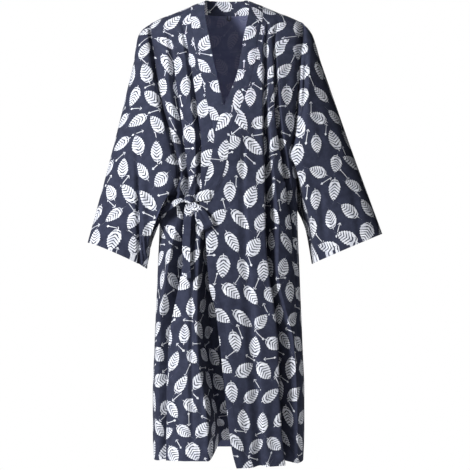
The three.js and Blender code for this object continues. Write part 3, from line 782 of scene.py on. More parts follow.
@dataclass(frozen=True)
class Panel:
    """One panel of the body, drawn over the body's rings from guides that follow its folds."""

    name: str
    side: Side
    folds: tuple[Fold, ...]
    creases: tuple[Crease, ...]
    guides: tuple[Guide, ...]
    steps: tuple[int, ...]
    still: int
    cloth_shift: tuple[float, float]
    armholes: tuple[tuple[int, float], ...]
    hem_rise: float = 0.12
    hem_bow: float = 8
    free_left: float = -math.inf
    free_right: float = -math.inf
    settle: int = 6
    flat_samples: int = 40
    most_stretch: float = 1.6

    def inwards(self, x: Numbers, z: Numbers) -> Numbers:
        """The sum of the folds' depths."""
        return sum(item.depth_at(x, z) for item in self.folds)

    def near_hem(self, z: Numbers) -> Numbers:
        """0 above the hem's last stretch and 1 at the hem."""
        return smooth_step((HEM_BEND - z) / (HEM_BEND - FORM.hem))

    def point(self, angle: Numbers, z: Numbers) -> Numbers:
        """Points of the panel at ring angles and heights.

        Args:
            angle: Ring angles.
            z: Heights on the rings.

        Returns:
            Points, the last axis being x, y and z.
        """
        x = FORM.ring(angle, z, self.side)[..., 0]
        inwards = self.inwards(x, z)
        result = FORM.ring(angle, z, self.side, inwards)
        rise = self.hem_rise * inwards + self.hem_bow * np.cos(angle)
        result[..., 2] += self.near_hem(z) * rise
        return result

    def top_line(self, x: Numbers) -> Numbers:
        """Height of the panel's top edge."""
        return FORM.shoulder_line(x)

    def side_angle(self, index: int, z: Numbers, angle: Numbers) -> Numbers:
        """The angle of a guide, held at the side seam below the underarm."""
        return angle

    def lines(self) -> tuple[Numbers, Numbers]:
        """Ring angles and heights of all the panel's points, row by row.

        Returns:
            Two grids: the angles and the heights on the rings.
        """
        level = panel_levels()
        follow = FOLLOW.at("share", level)
        angles, heights = [], []
        for index, guide in enumerate(self.guides):
            z = level
            for _ in range(self.settle):
                z = level + follow * self.top_line(guide(z))
            angle = FORM.angle_at(guide(z), z)
            angles.append(self.side_angle(index, z, angle))
            heights.append(z)
        all_angles, all_heights = [angles[0][:, None]], [heights[0][:, None]]
        for k, count in enumerate(self.steps):
            t = (np.arange(count) + 1) / count
            all_angles.append(mix(angles[k][:, None], angles[k + 1][:, None], t))
            all_heights.append(mix(heights[k][:, None], heights[k + 1][:, None], t))
        return np.hstack(all_angles), np.hstack(all_heights)

    def flat_places(self, grid: Numbers, angle: Numbers, z: Numbers) -> Numbers:
        """Where each point was on the flat cloth.

        Args:
            grid: The panel's points.
            angle: Their ring angles.
            z: Their heights on the rings.

        Returns:
            Places on the cloth in millimetres, across and along.
        """
        step = np.hypot(*np.moveaxis(np.diff(grid[..., :2], axis=1), -1, 0))
        across = np.hstack([np.zeros((len(grid), 1)), np.cumsum(step, axis=1)])
        still = sum(self.steps[: self.still])
        share = np.linspace(0, 1, self.flat_samples)
        plain = FORM.ring(angle[:, still, None] * share, z[:, still, None], self.side)
        length = np.hypot(*np.moveaxis(np.diff(plain[..., :2], axis=1), -1, 0)).sum(axis=1)
        from_middle = np.sign(angle[:, still]) * length
        turn = 1 if self.side is Side.FRONT else -1
        across += (turn * from_middle - across[:, still])[:, None]
        path = FORM.ring(angle, z + 1, self.side) - FORM.ring(angle, z - 1, self.side)
        stretch = np.minimum(np.linalg.norm(path, axis=-1) / 2, self.most_stretch)
        rise = np.diff(z, axis=0) * (stretch[1:] + stretch[:-1]) / 2
        along = np.vstack([z[:1], z[:1] + np.cumsum(rise, axis=0)])
        shift = np.array(self.cloth_shift)
        return np.stack([across, along], axis=-1) + shift

    def edge_places(self, flat: Numbers, z: Numbers) -> Numbers:
        """Distances to the nearest seam and the nearest hem, which a free side is too.

        Args:
            flat: The points' places on the flat cloth.
            z: Their heights on the rings.

        Returns:
            The two distances, as the last axis.
        """
        left = flat[..., 0] - flat[:, :1, 0]
        right = flat[:, -1:, 0] - flat[..., 0]
        top = flat[-1:, :, 1] - flat[..., 1]
        seam, hem = top, z - FORM.hem
        for gap, free_below in ((left, self.free_left), (right, self.free_right)):
            free = z < free_below
            seam = np.minimum(seam, np.where(free, FAR, gap))
            hem = np.minimum(hem, np.where(free, gap, FAR))
        return np.stack([seam, hem], axis=-1)

    def cloth(self) -> Cloth:
        """The panel with its creases.

        Returns:
            The piece.
        """
        angle, z = self.lines()
        grid = self.point(angle, z)
        flat = self.flat_places(grid, angle, z)
        made = Cloth(self.name, grid, flat, self.edge_places(flat, z))
        made.crease(self.creases)
        for edge, underarm in self.armholes:
            away = np.where(z > underarm, np.abs(flat[..., 0] - flat[:, edge, None, 0]), FAR)
            VALLEY.sink(made.outer, away, underarm, self.side.value)
        return made


@dataclass(frozen=True)
class RightFront(Panel):
    """The front that lies under: it drops into the deep trough beside the wrap."""

    ridge: Rows = table(
        "z x out half",
        (-1140, -172, 6, 10),
        (-1030, -172, 8, 10),
        (-908, -172, 14, 10),
        (-800, -169, 20, 10),
        (-703, -152, 18, 10),
        (-610, -137, 14, 9),
        (-550, -128, 0, 9),
    )
    trough_floor: float = 40
    trough_fade: float = 120
    trough_end: float = 0.6
    trough_rise: float = 0.35

    def trough(self, x: Numbers, z: Numbers) -> Numbers:
        """Depth of the trough beside the wrap.

        Args:
            x: Places across.
            z: Heights.

        Returns:
            Depths in millimetres.
        """
        crest, run = WRAP_TROUGH.at("x", z), WRAP_TROUGH.at("run", z)
        beyond = smooth_step((x - crest - run - self.trough_floor) / self.trough_fade)
        depth = WRAP_TROUGH.at("depth", z) * smooth_step((x - crest) / run)
        return depth * (1 - self.trough_end * beyond)

    def point(self, angle: Numbers, z: Numbers) -> Numbers:
        """Points of the panel at ring angles and heights.

        Args:
            angle: Ring angles.
            z: Heights on the rings.

        Returns:
            Points, the last axis being x, y and z.
        """
        x = FORM.ring(angle, z, self.side)[..., 0]
        inwards, trough = self.inwards(x, z), self.trough(x, z)
        result = FORM.ring(angle, z, self.side, inwards + trough)
        from_ridge = (x - self.ridge.at("x", z)) / self.ridge.at("half", z)
        result[..., 1] -= self.ridge.at("out", z) * np.exp(-(from_ridge**2))
        rise = self.hem_rise * inwards + self.trough_rise * trough + self.hem_bow * np.cos(angle)
        result[..., 2] += self.near_hem(z) * rise
        return result

    def side_angle(self, index: int, z: Numbers, angle: Numbers) -> Numbers:
        """The first guide keeps to the side seam below the underarm."""
        return np.where(z <= UNDERARM_RIGHT, -math.pi / 2, angle) if index == 0 else angle


@dataclass(frozen=True)
class LeftFront(Panel):
    """The front that wraps over, with its free edge standing proud."""

    stand: Rows = table(
        "z stand",
        (-1140, 10),
        (-800, 7),
        (-560, 6),
        (-486, 3),
        (-440, 4),
        (-360, 11),
        (-290, 3),
        (-200, 0),
    )
    stand_run: float = 70
    lap: float = 5
    lap_from: float = -90
    lap_run: float = 150
    lap_side: float = 0.7

    def overlap_out(self, angle: Numbers, x: Numbers, z: Numbers) -> Numbers:
        """How far the panel lies outside the body's rings.

        Args:
            angle: Ring angles.
            x: Places across.
            z: Heights.

        Returns:
            Distances in millimetres.
        """
        side_fade = smooth_step((math.pi / 2 - angle) / self.lap_side)
        lift = self.lap * smooth_step((self.lap_from - z) / self.lap_run)
        from_edge = np.maximum(0, x - EDGE_LEFT.at("x", z))
        stand = self.stand.at("stand", z) * (1 - smooth_step(from_edge / self.stand_run))
        return side_fade * lift + stand

    def point(self, angle: Numbers, z: Numbers) -> Numbers:
        """Points of the panel at ring angles and heights.

        Args:
            angle: Ring angles.
            z: Heights on the rings.

        Returns:
            Points, the last axis being x, y and z.
        """
        x = FORM.ring(angle, z, self.side)[..., 0]
        inwards = self.inwards(x, z)
        result = FORM.ring(angle, z, self.side, inwards - self.overlap_out(angle, x, z))
        result[..., 2] += self.near_hem(z) * self.hem_rise * inwards
        return result

    def side_angle(self, index: int, z: Numbers, angle: Numbers) -> Numbers:
        """The last guide keeps to the side seam below the underarm."""
        last = len(self.guides) - 1
        return np.where(z <= UNDERARM_LEFT, math.pi / 2, angle) if index == last else angle


class BackPanel(Panel):
    """The back, one panel from side to side."""

    def top_line(self, x: Numbers) -> Numbers:
        """Height of the back's top edge."""
        return FORM.back_line(x)

    def side_angle(self, index: int, z: Numbers, angle: Numbers) -> Numbers:
        """Both outer guides keep to the side seams below the underarms.

        Args:
            index: The guide's number.
            z: Heights.
            angle: The guide's own angles.

        Returns:
            The angles to use.
        """
        if index == 0:
            return np.where(z <= UNDERARM_LEFT, math.pi / 2, angle)
        if index == len(self.guides) - 1:
            return np.where(z <= UNDERARM_RIGHT, -math.pi / 2, angle)
        return angle


def level_guide(x: float) -> Guide:
    """A guide straight down at one place across."""
    return lambda z: np.full(np.shape(z), float(x))


def mirrored(items: list[Guide]) -> list[Guide]:
    """A fold's guides for a panel whose columns run the other way."""
    return items[::-1]


@dataclass
class RobeBody:
    """The two fronts and the back."""

    right: RightFront = field(
        default_factory=lambda: RightFront(
            name="right_front_cloth",
            side=Side.FRONT,
            folds=(FOLD_ARM_RIGHT, FOLD_BREAST_RIGHT),
            creases=CREASES_RIGHT,
            guides=(
                lambda z: ARMHOLE_RIGHT.at("x", z),
                *FOLD_ARM_RIGHT.guides(),
                *FOLD_BREAST_RIGHT.guides(),
                lambda z: WRAP_TROUGH.at("x", z),
                lambda z: WRAP_TROUGH.at("x", z) + WRAP_TROUGH.at("run", z),
                lambda z: EDGE_RIGHT.at("x", z),
            ),
            steps=(10, 5, 5, 13, 4, 4, 5, 12, 16),
            still=5,
            cloth_shift=(1180, 2400),
            armholes=((0, UNDERARM_RIGHT),),
            hem_bow=14,
            free_right=BAND_END_RIGHT["edge"][1],
        )
    )
    left: LeftFront = field(
        default_factory=lambda: LeftFront(
            name="left_front_cloth",
            side=Side.FRONT,
            folds=(FOLD_LAP_LEFT, FOLD_BREAST_LEFT, FOLD_ARM_LEFT),
            creases=CREASES_LEFT,
            guides=(
                lambda z: EDGE_LEFT.at("x", z),
                *FOLD_LAP_LEFT.guides(),
                *FOLD_BREAST_LEFT.guides(),
                *FOLD_ARM_LEFT.guides(),
                lambda z: ARMHOLE_LEFT.at("x", z),
            ),
            steps=(14, 5, 5, 8, 6, 6, 4, 4, 4, 8),
            still=3,
            cloth_shift=(2310, 2424),
            armholes=((-1, UNDERARM_LEFT),),
            free_left=BAND_END_LEFT["edge"][1],
        )
    )
    back: BackPanel = field(
        default_factory=lambda: BackPanel(
            name="back_cloth",
            side=Side.BACK,
            folds=BACK_FOLDS,
            creases=CREASES_BACK,
            guides=(
                lambda z: ARMHOLE_LEFT.at("x", z),
                *mirrored(BACK_FOLDS[3].guides()),
                level_guide(FORM.neck_half),
                *mirrored(BACK_FOLDS[2].guides()),
                *mirrored(BACK_FOLDS[1].guides()),
                level_guide(-FORM.neck_half),
                *mirrored(BACK_FOLDS[0].guides()),
                lambda z: ARMHOLE_RIGHT.at("x", z),
            ),
            steps=(12, 5, 5, 3, 5, 5, 5, 7, 5, 5, 6, 3, 5, 5, 12),
            still=7,
            cloth_shift=(3520, 2380),
            armholes=((0, UNDERARM_LEFT), (-1, UNDERARM_RIGHT)),
        )
    )

    def build(self) -> dict[str, Cloth]:
        """The three panels, with their creases."""
        return {
            "front_right": self.right.cloth(),
            "front_left": self.left.cloth(),
            "back": self.back.cloth(),
        }

    def dress(self, made: dict[str, Cloth], print_cloth: "Finish", wrong_side_with_painted_light: "Finish") -> None:
        """Puts the panels in the scene in their finishes.

        Args:
            made: The panels by their nodes.
            print_cloth: The right side's finish.
            wrong_side_with_painted_light: The inside's finish.
        """
        finishes = [print_cloth.material(), wrong_side_with_painted_light.material()]
        cuts = {
            "front_right": Cut(0.48, 1.17, area=0.355),
            "front_left": Cut(0.42, 1.17, area=0.34),
            "back": Cut(0.6, 1.17, area=0.535),
        }
        for node, cloth in made.items():
            place(cloth, (node,), finishes, cuts[node], "printed_cotton")


@dataclass
class Neckband:
    """The flat band up the right front, round the nape and down the left front."""

    width: float = 36
    lift: float = 1.3
    spans: int = 8
    tuck: float = 1.2
    rounding: float = 0.25
    thickness: float = 1.4
    up: tuple[float, float] = (0.95, 0.42)
    inwards: tuple[float, float] = (0.05, 0.9)
    forwards: float = 0.16
    stands_above: float = -105
    right_end: tuple[float, float] = (-2.0, 3.0)
    left_end: tuple[float, float] = (1.0, 2.0)
    cloth_shift: tuple[float, float] = (4700, 2210)

    def standing_way(self, x: Numbers) -> Numbers:
        """Which way the band stands at the nape.

        Args:
            x: Places across.

        Returns:
            Vectors of length one.
        """
        share = np.minimum(1, np.abs(x) / FORM.neck_half)
        up = mix(*self.up, share**3)
        inwards = mix(*self.inwards, share**2)
        return unit(np.stack([-np.sign(x) * inwards, -self.forwards * (1 - share), up], axis=-1))

    def stations(self, body: RobeBody) -> tuple[Numbers, Numbers]:
        """Points along the band's seam, and -1, 0 or 1 for right front, nape and left front.

        Args:
            body: The body that it is sewn to.

        Returns:
            The points and their parts, from the right end to the left.
        """
        level = panel_levels()
        points, parts = [], []
        angle, z = body.right.lines()
        line = body.right.point(angle[:, -1], z[:, -1])
        points.append(line[level >= BAND_END_RIGHT["seam"][1]])
        angle, z = body.back.lines()
        nape = body.back.point(angle[-1], z[-1])[::-1]
        points.append(nape[np.abs(nape[:, 0]) < FORM.neck_half - 1])
        angle, z = body.left.lines()
        line = body.left.point(angle[:, 0], z[:, 0])[::-1]
        points.append(line[level[::-1] >= BAND_END_LEFT["seam"][1] - 1.5])
        for part, group in zip((-1, 0, 1), points):
            parts.append(np.full(len(group), part))
        return np.vstack(points), np.concatenate(parts)

    def edge(self, body: RobeBody, points: Numbers, parts: Numbers) -> Numbers:
        """The band's free edge, a point for each point of its seam.

        Args:
            body: The body that it is sewn to.
            points: The seam's points.
            parts: The part that each one is in.

        Returns:
            The edge's points.
        """
        before, after = np.roll(points, 1, axis=0), np.roll(points, -1, axis=0)
        before[0], after[-1] = points[0], points[-1]
        way = (after - before) * np.array([1, 0, 1])
        way = unit(way)
        stood = points + self.standing_way(points[:, 0]) * self.width
        x = points[:, 0] - parts * self.width * np.abs(way[:, 2])
        turn = np.where(way[:, 2] < 0, -1, 1)
        z = points[:, 2] + self.width * parts * way[:, 0] * turn
        angle = FORM.angle_at(x, z)
        right = FORM.ring(angle, z, Side.FRONT)
        left = body.left.point(angle, z) - np.array([0, 1, 0])
        laid = np.where(parts[:, None] < 0, right, left)
        share = smooth_step(1 - z / self.stands_above)[:, None]
        edge = np.where(parts[:, None] == 0, stood, mix(laid, stood, share))
        x0, z0 = np.add(BAND_END_RIGHT["edge"], self.right_end)
        edge[0] = FORM.ring(FORM.angle_at(x0, z0), z0, Side.FRONT)
        x1, z1 = np.add(BAND_END_LEFT["edge"], self.left_end)
        edge[-1] = body.left.point(FORM.angle_at(x1, z1), z1)
        return edge

    def ease_ends(self, edge: Numbers, count: int = 12) -> Numbers:
        """Spreads the step at each end of the band over its last rows.

        Args:
            edge: The edge's points.
            count: How many rows the step is spread over.

        Returns:
            The eased points.
        """
        eased = edge.copy()
        for first, sign in ((0, 1), (len(edge) - 1, -1)):
            anchor = edge[first + sign * count]
            for k in range(1, count):
                t = k / count
                straight = mix(edge[first], anchor, t)
                eased[first + sign * k] = mix(straight, edge[first + sign * k], smooth_step(t))
        return eased

    def build(self, body: RobeBody) -> Cloth:
        """The band as one long grid, folded double and standing a little proud.

        Args:
            body: The body that it is sewn to.

        Returns:
            The piece.
        """
        points, parts = self.stations(body)
        edge = self.ease_ends(self.edge(body, points, parts))
        t = np.linspace(-self.tuck / self.width, 1, self.spans + 1)[:, None]
        grid = points[:, None] + (edge - points)[:, None] * t
        normals = grid_normals(grid, False)
        swell = np.sin(np.linspace(self.rounding, math.pi - self.rounding, self.spans + 1))
        grid = grid + normals * (self.lift * swell)[:, None]
        step = np.linalg.norm(np.diff(points, axis=0), axis=1)
        along = np.concatenate([[0], np.cumsum(step)])
        flat = np.stack(
            np.broadcast_arrays(t[:, 0] * self.width, along[:, None]), axis=-1
        ) + np.array(self.cloth_shift)
        seam = np.broadcast_to(t[:, 0] * self.width, grid.shape[:2])
        far = np.full(grid.shape[:2], FAR)
        edges = np.stack([seam, far], axis=-1)
        return Cloth("neckband_cloth", grid, flat, edges, False, self.thickness, True)

    def dress(self, cloth: Cloth, print_cloth: "Finish") -> None:
        """Puts the band in the scene."""
        cut = Cut(0.0375, 1.28, Held.FOLDED)
        place(cloth, ("neckband",), [print_cloth.material()], cut, "printed_cotton")


@dataclass(frozen=True)
class Arm:
    """The sizes of one sleeve."""

    name: str
    node: str
    sign: int
    underarm: float
    cuff_outer: tuple[float, float, float]
    cuff_inner: tuple[float, float, float]
    cuff_depth: float
    cuff_rise: float
    head_swell: float
    creases: tuple[Crease, ...]
    cloth_shift: tuple[float, float]
    cut: Cut
    tuck: Rows = table("share in back", (0, 0, 0), (1, 0, 0))


RIGHT_ARM = Arm(
    name="right_sleeve_cloth",
    node="sleeve_right",
    sign=-1,
    underarm=UNDERARM_RIGHT,
    cuff_outer=(-347, -6, -592),
    cuff_inner=(-200, 0, -657),
    cuff_depth=58,
    cuff_rise=8,
    head_swell=1.15,
    creases=(
        Crease((-223, -350), (-218, -510), (-214, -652), 5, 11.0, 0.3, 0.05),
        Crease((-204, -390), (-202, -520), (-204, -652), 12, -7.0, 0.4, 0.05),
        Crease((-208, -520), (-206, -590), (-206, -652), 3, 6.0, 0.5, 0.05),
        Crease((-199, -540), (-196, -590), (-199, -652), 3, 5.0, 0.5, 0.05),
        Crease((-206, -150), (-204, -280), (-222, -400), 12, 2.6, 0.4, 0.6),
        Crease((-160, -470), (-200, -450), (-262, -470), 12, 2.8, 0.3, 0.7),
        Crease((-168, -500), (-206, -520), (-270, -560), 12, 2.2, 0.3, 0.7),
        Crease((-250, -200), (-264, -330), (-290, -450), 14, 2.0, 0.5, 0.6),
        Crease((-290, -420), (-300, -500), (-306, -600), 13, 2.2, 0.5, 0.1),
        Crease((-200, -160), (-214, -300), (-250, -420), 14, 3.0, 0.4, 0.6, Side.BACK),
        Crease((-150, -470), (-200, -470), (-270, -520), 14, 3.4, 0.3, 0.7, Side.BACK),
        Crease((-240, -380), (-236, -500), (-232, -640), 12, 3.2, 0.5, 0.1, Side.BACK),
        Crease((-270, -300), (-290, -440), (-304, -600), 14, 2.4, 0.5, 0.1, Side.BACK),
    ),
    cloth_shift=(5900, 2150),
    cut=Cut(0.6, 0.58, area=0.217),
)
LEFT_ARM = Arm(
    name="left_sleeve_cloth",
    node="sleeve_left",
    sign=1,
    underarm=UNDERARM_LEFT,
    cuff_outer=(387, -6, -570),
    cuff_inner=(212, 0, -645),
    cuff_depth=60,
    cuff_rise=4,
    head_swell=0.65,
    creases=(
        Crease((194, -110), (188, -210), (180, -350), 9, 12.0, 0.3, 0.6),
        Crease((178, -400), (206, -392), (256, -410), 11, 3.0, 0.3, 0.7),
        Crease((186, -430), (216, -450), (280, -480), 12, 2.6, 0.3, 0.7),
        Crease((210, -200), (226, -330), (252, -440), 13, 2.2, 0.4, 0.6),
        Crease((226, -440), (236, -530), (242, -630), 10, 3.6, 0.4, 0.1),
        Crease((250, -230), (282, -360), (312, -460), 14, -1.8, 0.5, 0.6),
        Crease((300, -420), (318, -500), (330, -590), 13, 2.4, 0.5, 0.1),
        Crease((204, -170), (222, -300), (270, -420), 14, 3.0, 0.4, 0.6, Side.BACK),
        Crease((180, -420), (220, -440), (290, -500), 14, 3.4, 0.3, 0.7, Side.BACK),
        Crease((246, -380), (256, -500), (262, -630), 12, 3.2, 0.5, 0.1, Side.BACK),
        Crease((290, -300), (316, -440), (338, -580), 14, 2.4, 0.5, 0.1, Side.BACK),
    ),
    cloth_shift=(7060, 2320),
    cut=Cut(0.59, 0.57, area=0.211),
    tuck=table(
        "share in back",
        (0, 0, 0),
        (0.03, 0, 12),
        (0.06, 2, 24),
        (0.11, 9, 38),
        (0.16, 14, 43),
        (0.3, 19, 45),
        (0.42, 18, 38),
        (0.52, 11, 22),
        (0.66, 4, 8),
        (1, 0, 0),
    ),
)


@dataclass
class Sleeve:
    """A wide sleeve: a tube from the armhole to the cuff, swelling out between them."""

    arm: Arm
    row_steps: int = 11
    seam_points: int = 76
    flat_rows: int = 220
    cuff_power: float = 0.8
    fold_from: float = 0.7
    axis_start: tuple[float, float, float] = (178.0, 0, -230.0)
    shares: tuple[float, ...] = (0, 0.012, 0.03, 0.06, 0.11, 0.18, 0.27, 0.38, 0.52, 0.68, 0.84, 1)
    swell_along: Rows = table(
        "share top low",
        (0, 0, 0),
        (0.012, 0.35, 0.12),
        (0.03, 0.75, 0.25),
        (0.06, 1, 0.45),
        (0.11, 0.92, 0.7),
        (0.18, 0.66, 0.9),
        (0.27, 0.55, 1),
        (0.45, 0.36, 0.85),
        (0.71, 0.12, 0.45),
        (1, 0, 0),
    )
    swell_round: Rows = table(
        "round size out_x out_y low",
        (0, 20, 1, 0, 0),
        (0.15, 18, 0.8, 0.6, 0.2),
        (0.4, 16, 0.4, 0.92, 0.6),
        (0.7, 22, 0.4, 0.92, 1),
        (0.82, 26, 0.5, 0.87, 1),
        (0.93, 14, 0.8, 0.6, 1),
        (1, 4, 1, 0, 1),
    )

    def armhole(self, body: RobeBody) -> tuple[Numbers, Numbers, Numbers]:
        """The armhole's ring of points, with each one's side and share round.

        Args:
            body: The body that the sleeve is sewn to.

        Returns:
            Points, sides (-1 or 1) and shares from the shoulder (0) to the underarm (1).
        """
        level = panel_levels()
        front = body.right if self.arm.sign < 0 else body.left
        column = 0 if self.arm.sign < 0 else -1
        lines = []
        for panel, at in ((front, column), (body.back, -1 if self.arm.sign < 0 else 0)):
            angle, z = panel.lines()
            line = panel.point(angle[:, at], z[:, at])
            line = line[level >= self.arm.underarm]
            step = np.linalg.norm(np.diff(line, axis=0), axis=1)
            length = np.concatenate([[0], np.cumsum(step)])
            even = np.linspace(0, length[-1], self.seam_points)
            line = np.stack([np.interp(even, length, line[:, k]) for k in range(3)], axis=1)
            lines.append((line, 1 - even / length[-1]))
        (front_line, front_round), (back_line, back_round) = lines
        points = np.vstack([front_line, back_line[1:-1][::-1]])
        rounds = np.concatenate([front_round, back_round[1:-1][::-1]])
        sides = np.concatenate([-np.ones(len(front_line)), np.ones(len(back_line) - 2)])
        if self.arm.sign > 0:
            points, rounds, sides = points[::-1], rounds[::-1], sides[::-1]
        return points, sides, rounds

    def grid(self, points: Numbers, sides: Numbers, rounds: Numbers) -> Numbers:
        """The sleeve's rings of points from the armhole to the cuff.

        Args:
            points: The armhole's ring.
            sides: The side that each point is on, -1 or 1.
            rounds: Each point's share round.

        Returns:
            Points, ring by ring.
        """
        arm = self.arm
        knots = np.arange(len(self.shares))
        fine = np.linspace(0, knots[-1], knots[-1] * self.row_steps + 1)
        share = np.interp(fine, knots, self.shares)[:, None]
        turn = math.pi * rounds
        outer, inner = np.array(arm.cuff_outer), np.array(arm.cuff_inner)
        cuff = (outer + inner) / 2 + (outer - inner) * np.cos(turn)[:, None] / 2
        round_out = np.abs(np.sin(turn))
        cuff[:, 1] += sides * arm.cuff_depth * round_out**self.cuff_power
        cuff[:, 2] += arm.cuff_rise * round_out
        top = self.swell_along.at("top", share)
        low = self.swell_along.at("low", share)
        size = self.swell_round.at("size", rounds)
        head = mix(arm.head_swell, 1, smooth_step(rounds * 2))
        swell = size * head * mix(top, low, self.swell_round.at("low", rounds))
        result = mix(points[None], cuff[None], share[..., None])
        result[..., 0] += arm.sign * swell * self.swell_round.at("out_x", rounds)
        result[..., 1] += sides * swell * self.swell_round.at("out_y", rounds)
        low_fold = smooth_step((rounds - self.fold_from) / (1 - self.fold_from))
        result[..., 0] -= arm.sign * arm.tuck.at("in", share) * low_fold
        result[..., 1] += arm.tuck.at("back", share) * low_fold
        away = unit(result[1] - result[0])
        result[0] += away * FORM.seam_gap
        return result

    def flat_places(self, grid: Numbers, rounds: Numbers) -> Numbers:
        """Where each point was on the flat cloth, laid out from the sleeve's outer fold.

        Args:
            grid: The sleeve's points.
            rounds: Each column's share round, 0 at the outer fold.

        Returns:
            Places on the cloth in millimetres, with one column more than the points.
        """
        arm = self.arm
        middle = (np.array(arm.cuff_outer) + np.array(arm.cuff_inner)) / 2
        axis = unit(middle - np.array(self.axis_start) * [arm.sign, 1, 1])
        side_way = unit(np.cross(axis, np.array([0, 1.0, 0])))
        down = np.maximum.accumulate(grid @ axis + np.arange(len(grid))[:, None] * 1e-4, axis=0)
        out, deep = grid @ side_way, grid[..., 1]
        level = np.linspace(down.min(), down.max(), self.flat_rows)
        columns = range(grid.shape[1])
        section = np.stack(
            [
                np.stack([np.interp(level, down[:, c], part[:, c]) for c in columns], axis=1)
                for part in (out, deep)
            ],
            axis=-1,
        )
        step = np.linalg.norm(np.diff(section, axis=1, append=section[:, :1]), axis=-1)
        shoulder = int(np.argmin(rounds))
        run = np.hstack([np.zeros((len(level), 1)), np.cumsum(step, axis=1)])
        run = run - run[:, shoulder : shoulder + 1]
        fold_line = np.linalg.norm(np.diff(grid[:, shoulder], axis=0), axis=-1)
        fold_run = np.concatenate([[0], np.cumsum(fold_line)])
        places = []
        for c in range(grid.shape[1] + 1):
            at = down[:, c % grid.shape[1]]
            across = np.interp(at, level, run[:, c])
            along = -np.interp(at, down[:, shoulder], fold_run)
            places.append(np.stack([across, along], axis=-1))
        return np.stack(places, axis=1) + np.array(arm.cloth_shift)

    def build(self, body: RobeBody) -> Cloth:
        """The sleeve with its creases.

        Args:
            body: The body that it is sewn to.

        Returns:
            The piece.
        """
        points, sides, rounds = self.armhole(body)
        grid = self.grid(points, sides, rounds)
        flat = self.flat_places(grid, rounds)
        rows = np.linalg.norm(np.diff(grid, axis=0), axis=-1)
        from_arm = np.vstack([np.zeros((1, grid.shape[1])), np.cumsum(rows, axis=0)])
        to_cuff = from_arm[-1:] - from_arm
        edges = np.stack([from_arm, to_cuff], axis=-1)
        edges = np.concatenate([edges, edges[:, :1]], axis=1)
        made = Cloth(self.arm.name, grid, flat, edges, closed=True)
        made.crease(self.arm.creases)
        VALLEY.sink(made.outer, from_arm, self.arm.underarm, sides)
        return made

    def dress(self, cloth: Cloth, print_cloth: "Finish", wrong_side_with_painted_light: "Finish") -> None:
        """Puts the sleeve in the scene."""
        finishes = [print_cloth.material(), wrong_side_with_painted_light.material()]
        place(cloth, (self.arm.node,), finishes, self.arm.cut, "printed_cotton")


@dataclass(frozen=True)
class Ribbon:
    """A flat strip of cloth along a line, pleated where it enters the knot."""

    name: str
    node: str
    middles: tuple[tuple[float, float, float], ...]
    across: tuple[tuple[float, float, float], ...]
    cut: Cut
    pleat_start: float = 0
    pleat_end: float = 0
    rows: int = 60
    columns: int = 12
    pleats: float = 3
    pleat_run: float = 0.45
    pleat_phase: float = 0.4
    bound: float = 1.2
    thickness: float = 1.2
    cloth_shift: tuple[float, float] = (8200, 2100)

    def cloth(self) -> Cloth:
        """The ribbon's grid, with lengthwise pleats that fade away from the knot.

        Returns:
            The piece.
        """
        middle = smooth_path(np.array(self.middles), self.rows + 1)
        across = smooth_path(np.array(self.across), self.rows + 1)
        t = np.linspace(1, -1, self.columns + 1)
        grid = middle[:, None] + across[:, None] * t[:, None]
        share = np.linspace(0, 1, self.rows + 1)
        near = self.pleat_start * (1 - smooth_step(share / self.pleat_run))
        near = near + self.pleat_end * smooth_step((share - 1) / self.pleat_run + 1)
        wave = np.cos(self.pleats * math.pi * t + self.pleat_phase)
        normals = grid_normals(grid, False)
        grid = grid + normals * (near[:, None] * wave)[..., None]
        step = np.linalg.norm(np.diff(middle, axis=0), axis=1)
        along = np.concatenate([[0], np.cumsum(step)])[:, None]
        half = np.linalg.norm(across, axis=1)[:, None]
        wide = half * (1 - t)
        flat = np.stack(np.broadcast_arrays(wide, along), axis=-1) + np.array(self.cloth_shift)
        edge = half * (1 - np.abs(t))
        edges = np.stack([edge + self.bound, np.full_like(edge, FAR)], axis=-1)
        return Cloth(self.name, grid, flat, edges, False, self.thickness, True)


